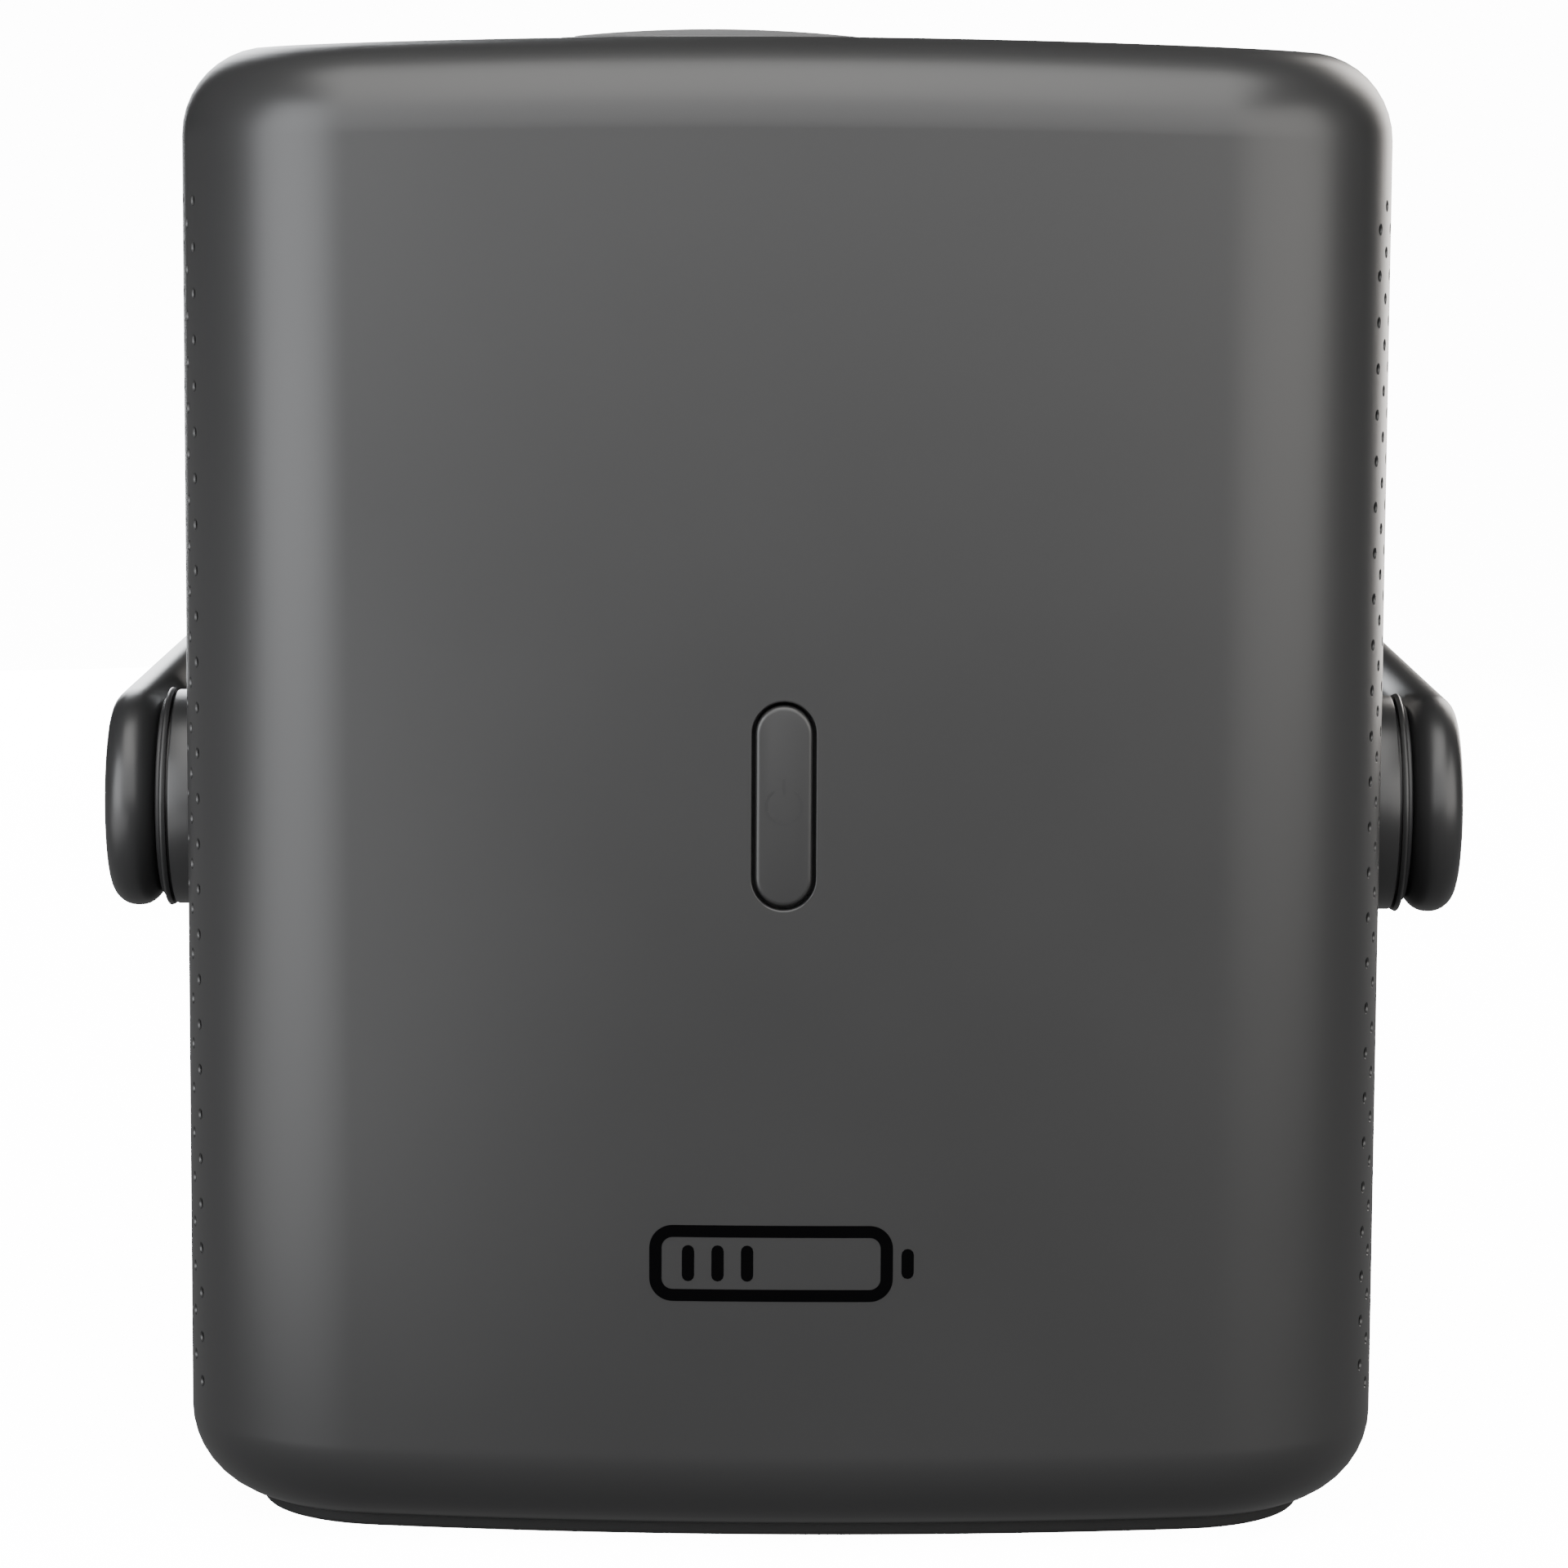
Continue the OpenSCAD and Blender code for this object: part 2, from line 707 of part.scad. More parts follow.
module mains_outline() {
    w = mains_recess[0] / 2;
    h = mains_recess[1] / 2;
    polygon([[-w, 0], [-w + h, h], [w - h, h], [w, 0], [w - h, -h], [-w + h, -h]]);
}

module at_mains_pins() {
    for (x = [-1, 1]) translate([x * mains_pin_pitch / 2, 0, mains_earth_drop / 2]) children();
    translate([0, 0, -mains_earth_drop / 2]) children();
}

module mains_socket(z) {
    color(black) on_panel(mains_x, z) difference() {
        union() {
            translate([0, panel_back_y - mains_body, 0]) upright(mains_body + panel_t + 1.2)
                rounded_square(mains_size, 4.8);
        }
        translate([0, panel_face_y + 1.2 - mains_depth, 0]) upright(mains_depth + 2) mains_outline();
        at_mains_pins() translate([0, panel_back_y - mains_body + 4, 0]) rod_y(mains_pin_r, mains_body);
    }
}

module upper_mains_socket() { mains_socket(mains_z[0]); }
module lower_mains_socket() { mains_socket(mains_z[1]); }

module mains_terminals() {
    color("#c9a04a") for (z = mains_z) on_panel(mains_x, z) at_mains_pins()
        translate([0, panel_back_y - mains_body - 3, 0]) rod_y(1.4, 3 - touch, $fn = 24);
}

port_board_y = panel_back_y - 14;

module usb_a_shells() {
    color(steel) for (x = usb_a_x) on_panel(x, usb_a_z) difference() {
        box_at([-6.6, port_board_y, -2.9], [6.6, panel_face_y, 2.9]);
        box_at([-6.2, port_board_y + 0.6, -2.5], [6.2, panel_face_y + 1, 2.5]);
    }
}

module usb_a_tongues() {
    color("#1e6fd0") for (x = usb_a_x) on_panel(x, usb_a_z)
        box_at([-5.6, port_board_y + 0.6 + touch, 0.3], [5.6, panel_face_y - 1, 2.1]);
}

module usb_c_shells() {
    color(steel) for (x = usb_c_x) on_panel(x, usb_c_z) difference() {
        translate([0, port_board_y, 0]) upright(panel_face_y - port_board_y) rounded_square([8.9, 3.2], 1.5);
        translate([0, port_board_y + 0.6, 0]) upright(panel_face_y) rounded_square([8.3, 2.6], 1.2);
    }
}

module usb_c_tongues() {
    color(black) for (x = usb_c_x) on_panel(x, usb_c_z)
        box_at([-3.2, port_board_y + 0.6 + touch, -0.35], [3.2, panel_face_y - 1.2, 0.35]);
}

module dc_jacks() {
    color(black) for (x = dc_jack_x) on_panel(x, dc_jack_z) difference() {
        translate([0, port_board_y, 0]) rod_y(dc_jack_body_r, panel_face_y + 0.6 - port_board_y);
        translate([0, port_board_y + 2, 0]) rod_y(dc_jack_r, body_d);
    }
}

module dc_jack_pins() {
    color(steel) for (x = dc_jack_x) on_panel(x, dc_jack_z)
        translate([0, port_board_y + 2 + touch, 0]) rod_y(1, panel_face_y - port_board_y - 4);
}

car_face_y = panel_face_y + 1.4;

// The rubber cap swings on a pin in two lugs beside the flange.
cap_hinge_x = car_flange_r + 2.6;
cap_hinge_y = car_face_y + 1.4;
cap_pin_r = 0.8;
cap_lug_r = 1.8;
cap_lug_t = 2.4;
cap_lug_z = 5;
cap_knuckle = 6.8;
car_cap_t = 2.2;

// A low foot from the flange out to the pin, and a round eye on it.
module cap_lug() {
    box_at([car_flange_r - 3, panel_face_y + touch, 0], [cap_hinge_x + cap_lug_r, car_face_y, cap_lug_t]);
    box_at([cap_hinge_x - cap_lug_r, car_face_y - touch, 0],
           [cap_hinge_x + cap_lug_r, cap_hinge_y, cap_lug_t]);
    translate([cap_hinge_x, cap_hinge_y, 0]) cylinder(r = cap_lug_r, h = cap_lug_t);
}

module car_socket() {
    color(black) on_panel(car_x, car_z) difference() {
        union() {
            translate([0, panel_face_y + touch, 0]) rod_y(car_flange_r, car_face_y - panel_face_y - touch);
            translate([0, car_face_y - car_depth - car_wall, 0])
                rod_y(car_bore_r + car_wall, car_depth + car_wall);
            for (s = [-1, 1]) translate([0, 0, s * cap_lug_z - cap_lug_t / 2]) cap_lug();
        }
        translate([0, car_face_y - car_depth, 0]) rod_y(car_bore_r, car_depth + 1);
        translate([cap_hinge_x, cap_hinge_y, -cap_lug_z - cap_lug_t])
            cylinder(r = cap_pin_r, h = 2 * (cap_lug_z + cap_lug_t));
    }
}

// A disc with a strap to the hinge on one side and a tab for a fingernail on the other.
module car_socket_cap() {
    cap_y = car_face_y + 0.15;
    half = cap_knuckle / 2;
    color("#232325") on_panel(car_x, car_z) difference() {
        union() {
            translate([0, cap_y, 0]) rod_y(car_flange_r - 0.6, car_cap_t);
            box_at([4, cap_y, -half], [cap_hinge_x, cap_y + car_cap_t, half]);
            translate([cap_hinge_x, cap_hinge_y, -half]) cylinder(r = cap_lug_r - 0.1, h = cap_knuckle);
            translate([-car_flange_r - 1.4, cap_y, -4]) cube([6, car_cap_t, 8]);
        }
        translate([cap_hinge_x, cap_hinge_y, -cap_knuckle])
            cylinder(r = cap_pin_r + 0.06, h = 2 * cap_knuckle);
    }
}

module cap_hinge_pin() {
    half = cap_lug_z + cap_lug_t / 2;
    color(steel) on_panel(car_x, car_z) translate([cap_hinge_x, cap_hinge_y, -half])
        cylinder(r = cap_pin_r - touch, h = 2 * half);
}

module small_button(at) {
    stem_y = port_board_y + small_switch_t + small_travel + 0.2;
    color("#3a3a3d") on_panel(at[0], at[1]) {
        translate([0, panel_back_y - 1.6, 0]) rod_y(small_button_r, panel_t + 1.6 + 0.8);
        translate([0, panel_back_y - 1.6, 0]) rod_y(small_button_r + 1.2, 1.5);
        translate([0, stem_y, 0]) rod_y(1.6, panel_back_y - 1.6 - stem_y + touch);
    }
}

module ac_button() { small_button(ac_button_at); }
module dc_button() { small_button(dc_button_at); }
module lamp_button() { small_button(lamp_button_at); }

module port_board() {
    color(board_green) translate([0, 0, panel_mid_z]) difference() {
        box_at([-66, port_board_y - board_t, -29], [64, port_board_y - touch, 30]);
        box_at([6, port_board_y - 10, -40], [body_w, port_board_y + 10, 3]);
    }
}

// ---- Battery ----

frame_t = 2.4;
frame_z = floor_z + wall + 0.2;
holder_t = 4;
holder_cup = 8;
cell_z = frame_z + frame_t + holder_t + touch;
battery_y = -half_d + wall + 18;
cell_cols = 3;
cell_rows = 2;

module at_cells() {
    for (i = [0:cell_cols - 1], j = [0:cell_rows - 1])
        translate([(i - (cell_cols - 1) / 2) * cell_pitch, battery_y + (j + 0.5) * cell_pitch, 0])
            children();
}

module battery_cells() {
    color(wrap_blue) at_cells() {
        translate([0, 0, cell_z]) cylinder(d = cell_d, h = cell_l);
        translate([0, 0, cell_z + cell_l - touch]) cylinder(r = 6, h = holder_t);
    }
}

// A tray with a cup for each cell's end, from its floor at z = 0 upwards.
module cell_holder() {
    color(black) difference() {
        translate([0, battery_y + cell_rows * cell_pitch / 2, 0]) linear_extrude(holder_t + holder_cup)
            rounded_square([cell_cols * cell_pitch + 4, cell_rows * cell_pitch + 4], 6);
        at_cells() translate([0, 0, holder_t]) cylinder(d = cell_d + 0.1, h = 2 * holder_cup);
        at_cells() translate([0, 0, -1]) cylinder(r = 9, h = holder_t + 2);
    }
}

module lower_cell_holder() {
    translate([0, 0, frame_z + frame_t + touch]) cell_holder();
}

module upper_cell_holder() {
    translate([0, 0, cell_z + cell_l + holder_t]) mirror([0, 0, 1]) cell_holder();
}

module bus_bars() {
    z = cell_z + cell_l + holder_t + touch;
    mid_y = battery_y + cell_rows * cell_pitch / 2;
    color(steel) for (i = [0:cell_cols - 1])
        translate([(i - (cell_cols - 1) / 2) * cell_pitch, mid_y, z])
            difference() {
                linear_extrude(0.4) rounded_square([14, cell_rows * cell_pitch - 6], 5);
                translate([0, 0, -1]) cylinder(r = 2, h = 3);
            }
}

battery_board_x = cell_cols * cell_pitch / 2 + 2 + touch;

module battery_board() {
    mid_y = battery_y + cell_rows * cell_pitch / 2;
    color(board_green) {
        box_at([battery_board_x, mid_y - 28, cell_z + 12],
               [battery_board_x + board_t, mid_y + 28, cell_z + 96]);
        for (k = [0:3]) box_at([battery_board_x + board_t - touch, mid_y - 20 + 11 * k, cell_z + 30],
                               [battery_board_x + board_t + 3, mid_y - 13 + 11 * k, cell_z + 40]);
    }
}

inverter_z = cell_z + cell_l + holder_t + 12;
inverter_size = [150, 84];
inverter_y = battery_y + 34.4;
column_x = inverter_size[0] / 2 - 6;
column_y = inverter_size[1] / 2 - 9;
tray_size = [2 * foot_screw_x + 12, 80];
tray_y = inverter_y + 2;
tray_r = 22;                      // keeps the tray clear of the housing's rolled lower edge

module inner_frame() {
    color("#2b2b2d") difference() {
        union() {
            translate([0, tray_y, frame_z]) linear_extrude(frame_t) rounded_square(tray_size, tray_r);
            for (x = [-1, 1], y = [-1, 1]) translate([x * column_x, inverter_y + y * column_y, frame_z])
                cylinder(r = 4, h = inverter_z - frame_z - touch);
        }
        for (x = [-1, 1], y = [-1, 1])
            translate([x * column_x, inverter_y + y * column_y, inverter_z - 12]) cylinder(r = 1.2, h = 20);
        at_foot_screws() cylinder(r = screw_r, h = 20);
    }
}

module inverter_board() {
    color(board_green) difference() {
        translate([0, inverter_y, inverter_z]) linear_extrude(board_t) rounded_square(inverter_size, 4);
        for (x = [-1, 1], y = [-1, 1]) translate([x * column_x, inverter_y + y * column_y, inverter_z - 1])
            cylinder(r = 1.6, h = 4);
    }
}

part_z = inverter_z + board_t + touch;

transformer_at = [-44, -38];
transformer_size = [36, 32, 28];
yoke = 8;

module transformer() {
    x = transformer_size[0] / 2;
    y = transformer_size[1] / 2;
    h = transformer_size[2];
    color("#8a6a3a") translate([transformer_at[0], transformer_at[1], part_z]) {
        translate([-x, -y, 0]) cube([2 * x, 2 * y, yoke]);
        translate([-x, -y, h - yoke]) cube([2 * x, 2 * y, yoke]);
        for (s = [-x, x - yoke]) translate([s, -y / 2, yoke - touch])
            cube([yoke, y, h - 2 * yoke + 2 * touch]);
        translate([0, 0, yoke - touch]) cylinder(r = 9, h = h - 2 * yoke + 2 * touch);
    }
}

module capacitors() {
    color("#202a44") for (i = [0:3]) translate([-64 + 19 * i, 4, part_z]) cylinder(r = 8, h = 30);
}

sink_size = [56, 14, 34];
fins = 6;

module heat_sinks() {
    color("#9da1a6") for (y = [-56, -22]) translate([10, y, part_z]) {
        cube([sink_size[0], 3, sink_size[2]]);
        for (k = [0:fins - 1]) translate([0, 3 - touch, 2 + k * (sink_size[2] - 4) / (fins - 1) - 0.6])
            cube([sink_size[0], sink_size[1], 1.2]);
    }
}

// Two leads from the battery board up to the inverter board.
module battery_leads() {
    lead_r = 2.2;
    x = battery_board_x + board_t + lead_r + touch;
    low = cell_z + 60;
    color("#a8201f") for (k = [0, 1]) translate([x, battery_y + 18 + 18 * k, low])
        cylinder(r = lead_r, h = inverter_z - low - touch, $fn = 24);
}

// ---- Fan ----

fan_x = inside_x - 4 - fan_t;
fan_y = -6;
fan_z = top_z - wall - 8 - fan_w / 2;
fan_bore_r = fan_w / 2 - 2;
fan_hub_r = fan_w / 5;
fan_screw_at = fan_w / 2 - 4.6;
blade_chord = 9.2;

module fan_frame() {
    color(black) translate([fan_x, fan_y, fan_z]) {
        difference() {
            rotate([90, 0, 90]) linear_extrude(fan_t) rounded_square([fan_w, fan_w], 3);
            translate([-1, 0, 0]) rod_x(fan_bore_r, fan_t + 2);
            for (i = [-1, 1], j = [-1, 1]) translate([-1, i * fan_screw_at, j * fan_screw_at])
                rod_x(1.9, fan_t + 2);
        }
        // spider with the bearing tube
        for (a = [0:90:270]) rotate([a, 0, 0]) translate([0, -1.5, fan_hub_r - 3])
            cube([2, 3, fan_bore_r - fan_hub_r + 4]);
        difference() {
            union() {
                rod_x(fan_hub_r, 2);
                rod_x(3.6, 8);
            }
            translate([-1, 0, 0]) rod_x(1.55, 12);
        }
    }
}

module fan_rotor() {
    color("#303033") translate([fan_x, fan_y, fan_z]) {
        difference() {
            translate([2.6, 0, 0]) rod_x(fan_hub_r, fan_t - 3.2);
            translate([2.5, 0, 0]) rod_x(fan_hub_r - 1.4, fan_t - 4.7);
        }
        translate([0.6, 0, 0]) rod_x(1.5, fan_t - 2.5);
        for (a = [0:fan_blades - 1]) rotate([a * 360 / fan_blades, 0, 0])
            translate([fan_t / 2 + 1, 0, fan_hub_r - 0.6]) rotate(35)
                translate([-blade_chord / 2, -0.6, 0]) cube([blade_chord, 1.2, fan_bore_r - fan_hub_r - 0.6]);
    }
}

module fan_screws() {
    color(steel) for (i = [-1, 1], j = [-1, 1])
        translate([fan_x - 2.2, fan_y + i * fan_screw_at, fan_z + j * fan_screw_at]) {
            rod_x(3, 2.2 - touch);
            rod_x(1.6, fan_t + 5);
        }
}

front_housing();
rear_cover();
base_foot();
foot_screws();
cover_screws();
power_button();
button_guide();
button_board();
push_switches();
handle();
handle_grip();
left_pivot_hub();
right_pivot_hub();
left_friction_washer();
right_friction_washer();
left_pivot_screw();
right_pivot_screw();
left_hub_nut();
right_hub_nut();
left_pivot_cap();
right_pivot_cap();
charging_pad();
pad_ring();
charging_coil();
coil_shield();
rear_panel();
display_window();
display_module();
lamp_lens();
lamp_board();
upper_mains_socket();
lower_mains_socket();
mains_terminals();
usb_a_shells();
usb_a_tongues();
usb_c_shells();
usb_c_tongues();
dc_jacks();
dc_jack_pins();
car_socket();
car_socket_cap();
cap_hinge_pin();
ac_button();
dc_button();
lamp_button();
port_board();
battery_cells();
lower_cell_holder();
upper_cell_holder();
bus_bars();
battery_board();
battery_leads();
inner_frame();
inverter_board();
transformer();
capacitors();
heat_sinks();
fan_frame();
fan_rotor();
fan_screws();
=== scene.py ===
# %% [markdown]
# # A portable power station
# A tall box of satin grey plastic stands on a thin black foot. Its corners are round, its front
# bulges a little, its sides are full of small air holes, and a U-shaped handle swings on a hub at
# each side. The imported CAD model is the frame: it says where every piece is. This file makes the
# pieces that are seen, with the small radii, gaps and grain that a moulded product has.

# %% Load the frame
import json
import math

import bmesh
import bpy
import numpy as np
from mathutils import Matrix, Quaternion, Vector


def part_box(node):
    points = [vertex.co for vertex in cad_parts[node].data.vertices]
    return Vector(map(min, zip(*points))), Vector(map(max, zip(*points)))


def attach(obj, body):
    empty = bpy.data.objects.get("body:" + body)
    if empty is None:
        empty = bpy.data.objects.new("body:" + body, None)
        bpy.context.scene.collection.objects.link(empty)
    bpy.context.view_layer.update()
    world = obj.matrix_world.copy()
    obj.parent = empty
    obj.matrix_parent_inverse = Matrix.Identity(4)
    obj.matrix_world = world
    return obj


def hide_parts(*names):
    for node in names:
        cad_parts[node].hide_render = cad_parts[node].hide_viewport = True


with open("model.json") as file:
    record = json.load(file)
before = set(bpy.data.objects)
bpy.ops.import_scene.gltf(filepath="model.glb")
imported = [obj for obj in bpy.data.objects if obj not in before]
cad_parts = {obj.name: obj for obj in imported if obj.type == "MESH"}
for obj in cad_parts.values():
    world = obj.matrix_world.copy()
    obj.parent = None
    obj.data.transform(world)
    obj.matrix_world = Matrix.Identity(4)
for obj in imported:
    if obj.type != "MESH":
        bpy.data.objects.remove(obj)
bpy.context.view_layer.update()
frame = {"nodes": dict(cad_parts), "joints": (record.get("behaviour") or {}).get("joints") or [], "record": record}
MM = 0.001

# %% [markdown]
# The housing follows one rule. Seen from above, its outline is four corner arcs, a slightly bulged
# front and straight sides. Every upright edge section is that outline, moved inwards along a
# quarter circle at the top and at the bottom. So a few radii give the whole shape, and the frame
# gives the places.

# %% Sizes of the housing
shell_low, shell_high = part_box("front_housing")
REAR_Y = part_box("rear_cover")[1].y
HALF_W = shell_high.x
FRONT_Y = shell_low.y
SPLIT_Y = shell_high.y
TOP_Z = shell_high.z
FLOOR_Z = 2 * MM
CORNER_R = 35 * MM
EDGE_R = 14.5 * MM
BULGE_R = 480 * MM
WALL = 2.6 * MM
TOP_CROWN = 1.9 * MM
CORNER_X = HALF_W - CORNER_R
REAR_CORNER_Y = REAR_Y - CORNER_R
BULGE_Y = FRONT_Y + BULGE_R
FRONT_CORNER_Y = BULGE_Y - math.sqrt((BULGE_R - CORNER_R) ** 2 - CORNER_X ** 2)
BULGE_ANGLE = math.asin(CORNER_X / (BULGE_R - CORNER_R))
PIVOT = next(Vector(j["pos_m"]) for j in frame["joints"] if j["name"] == "handle_swing")
print("front corners at y =", round(FRONT_CORNER_Y / MM, 2), "mm, pivot at z =", round(PIVOT.z / MM, 1), "mm")

# %% [markdown]
# A long lens a good way back keeps the upright edges nearly parallel. The camera stands a little
# below the top of the housing and looks slightly down, so the top itself isn't seen.

# %% Camera
CAMERA_DISTANCE = 0.8725
CAMERA_HEIGHT = 0.23785
CAMERA_PITCH = 7.229
CAMERA_ROLL = 0.296
camera_data = bpy.data.cameras.new("camera")
camera_data.sensor_width = 36
camera_data.lens = 125.7
camera = bpy.data.objects.new("camera", camera_data)
camera.location = (0, FRONT_Y - CAMERA_DISTANCE, CAMERA_HEIGHT)
camera.rotation_mode = "QUATERNION"
tilt = Quaternion((1, 0, 0), math.radians(90 - CAMERA_PITCH))
camera.rotation_quaternion = tilt @ Quaternion((0, 0, 1), math.radians(CAMERA_ROLL))
bpy.context.scene.collection.objects.link(camera)
bpy.context.scene.camera = camera
print("camera", round(CAMERA_DISTANCE, 3), "m in front of the housing")

# %% [markdown]
# A plain pale floor, white to the camera. To the plastic it gives only a dim painted glow, as when a
# product stands on a sheet that black cards shade, and a brighter painted pool of light on its left,
# so the band on the left corner runs down to the foot.

# %% Floor
FLOOR_SIZE = 12
PAPER_WHITE = 14.0
# Painted light: the floor glows dimly for the rays that light the plastic, and brighter in a painted pool of light
# on the left.
FLOOR_PAINTED_GLOW = 0.25
LEFT_PAINTED_LIGHT = 2.6
LEFT_PAINTED_LIGHT_AT = (-0.5, -0.38, 0)
LEFT_PAINTED_LIGHT_EDGE = (0.28, 0.42)


def floor_finish():
    """White paper to the camera; to everything that it lights, a dim painted glow with a brighter painted pool of
    light on the left.
    """
    finish = bpy.data.materials.new("floor_paper_and_painted_glow")
    finish.use_nodes = True
    tree = finish.node_tree
    shader = tree.nodes["Principled BSDF"]
    shader.inputs["Base Color"].default_value = (0.9, 0.9, 0.9, 1)
    shader.inputs["Roughness"].default_value = 0.9
    shader.inputs["Emission Color"].default_value = (1, 1, 1, 1)
    shader.inputs["Emission Strength"].default_value = PAPER_WHITE
    path = tree.nodes.new("ShaderNodeLightPath")
    mix = tree.nodes.new("ShaderNodeMixShader")
    tree.links.new(path.outputs["Is Camera Ray"], mix.inputs["Fac"])
    away = tree.nodes.new("ShaderNodeVectorMath")
    away.operation = "DISTANCE"
    away.inputs[1].default_value = LEFT_PAINTED_LIGHT_AT
    tree.links.new(tree.nodes.new("ShaderNodeTexCoord").outputs["Object"], away.inputs[0])
    painted_light = tree.nodes.new("ShaderNodeMapRange")
    painted_light.interpolation_type = "SMOOTHSTEP"
    near, far = LEFT_PAINTED_LIGHT_EDGE
    ranges = {"From Min": near, "From Max": far, "To Min": LEFT_PAINTED_LIGHT, "To Max": FLOOR_PAINTED_GLOW}
    for title, value in ranges.items():
        painted_light.inputs[title].default_value = value
    tree.links.new(away.outputs["Value"], painted_light.inputs["Value"])
    # This emission is painted light: the floor's dim glow and its brighter painted pool of light on the left.
    dim = tree.nodes.new("ShaderNodeEmission")
    tree.links.new(painted_light.outputs["Result"], dim.inputs["Strength"])
    tree.links.new(dim.outputs["Emission"], mix.inputs[1])
    tree.links.new(shader.outputs["BSDF"], mix.inputs[2])
    tree.links.new(mix.outputs["Shader"], tree.nodes["Material Output"].inputs["Surface"])
    return finish


floor_mesh = bpy.data.meshes.new("floor")
half = FLOOR_SIZE / 2
floor_corners = [(-half, -half, 0), (half, -half, 0), (half, half, 0), (-half, half, 0)]
floor_mesh.from_pydata(floor_corners, [], [(0, 1, 2, 3)])
floor_mesh.materials.append(floor_finish())
floor = bpy.data.objects.new("floor", floor_mesh)
bpy.context.scene.collection.objects.link(floor)
print("floor", FLOOR_SIZE, "m across")

# %% [markdown]
# Satin plastic shows its shape through broad highlights. A tall cool softbox at the front left
# draws the band down the left corner, a wider and weaker one does the right corner, and a large
# one above the camera lights the rolled top edge. The surroundings are dim, so the edges of the
# silhouette fall dark, and the backdrop is bright only to the camera.

# %% Lights
LOOK_AT = Vector((0, 0, 0.12))


def softbox(name, azimuth, elevation, distance, width, height, power, colour):
    """A rectangular lamp round the object. Azimuth 0 is in front, and positive is to the right."""
    data = bpy.data.lights.new(name, "AREA")
    data.shape = "RECTANGLE"
    data.size = width
    data.size_y = height
    data.energy = power
    data.color = colour
    lamp = bpy.data.objects.new(name, data)
    a, e = math.radians(azimuth), math.radians(elevation)
    away = Vector((math.sin(a) * math.cos(e), -math.cos(a) * math.cos(e), math.sin(e)))
    lamp.location = LOOK_AT + away * distance
    lamp.rotation_mode = "QUATERNION"
    lamp.rotation_quaternion = away.to_track_quat("Z", "Y")
    lamp.visible_camera = False
    bpy.context.scene.collection.objects.link(lamp)
    return lamp


softbox("left_panel", -53, -14, 1.1, 0.84, 2.6, 46, (0.96, 0.975, 1.0))
softbox("right_panel", 56, 4, 1.3, 1.25, 1.6, 26, (1.0, 0.98, 0.95))
softbox("front_panel", 0, 22, 1.4, 1.5, 1.0, 14, (1.0, 1.0, 1.0))
softbox("overhead_panel", 0, 66, 1.2, 1.4, 1.1, 24, (1.0, 0.99, 0.97))
softbox("rear_left_strip", -164, 6, 1.3, 0.3, 1.2, 11, (0.95, 0.97, 1.0))
softbox("rear_right_strip", 150, 6, 1.3, 0.45, 1.2, 13, (1.0, 0.95, 0.9))
SURROUND = 0.03
BACKDROP = 14.0


def studio_surround():
    world = bpy.data.worlds.new("studio")
    world.use_nodes = True
    tree = world.node_tree
    tree.nodes.clear()
    output = tree.nodes.new("ShaderNodeOutputWorld")
    mix = tree.nodes.new("ShaderNodeMixShader")
    dim = tree.nodes.new("ShaderNodeBackground")
    bright = tree.nodes.new("ShaderNodeBackground")
    path = tree.nodes.new("ShaderNodeLightPath")
    dim.inputs["Color"].default_value = (1, 1, 1, 1)
    dim.inputs["Strength"].default_value = SURROUND
    bright.inputs["Color"].default_value = (1, 1, 1, 1)
    bright.inputs["Strength"].default_value = BACKDROP
    tree.links.new(path.outputs["Is Camera Ray"], mix.inputs["Fac"])
    tree.links.new(dim.outputs["Background"], mix.inputs[1])
    tree.links.new(bright.outputs["Background"], mix.inputs[2])
    tree.links.new(mix.outputs["Shader"], output.inputs["Surface"])
    bpy.context.scene.world = world
    return world


studio_surround()

# %% [markdown]
# ## Finishes
# A moulded surface isn't smooth: the steel mould is spark-eroded, so the plastic has a fine, dense
# grain that spreads the highlight. One shader node group makes that grain for every moulded piece.
# It gives a height for the bump, a roughness and a tint, which all change over the surface. The
# shader itself stays in each material, with its fixed values on its own sockets.

# %% Shader group for moulded grain


def new_group(name, inputs, outputs):
    group = bpy.data.node_groups.new(name, "ShaderNodeTree")
    for title, default in inputs.items():
        socket = group.interface.new_socket(name=title, in_out="INPUT", socket_type="NodeSocketFloat")
        socket.default_value = default
    for title in outputs:
        group.interface.new_socket(name=title, in_out="OUTPUT", socket_type="NodeSocketFloat")
    return group, group.nodes.new("NodeGroupInput"), group.nodes.new("NodeGroupOutput")


def math_node(tree, operation, a, b):
    node = tree.nodes.new("ShaderNodeMath")
    node.operation = operation
    for socket, value in zip(node.inputs, (a, b)):
        if isinstance(value, (int, float)):
            socket.default_value = value
        else:
            tree.links.new(value, socket)
    return node.outputs[0]


def noise(tree, place, scale, detail):
    node = tree.nodes.new("ShaderNodeTexNoise")
    node.inputs["Detail"].default_value = detail
    tree.links.new(place, node.inputs["Vector"])
    if isinstance(scale, (int, float)):
        node.inputs["Scale"].default_value = scale
    else:
        tree.links.new(scale, node.inputs["Scale"])
    return node.outputs["Fac"]


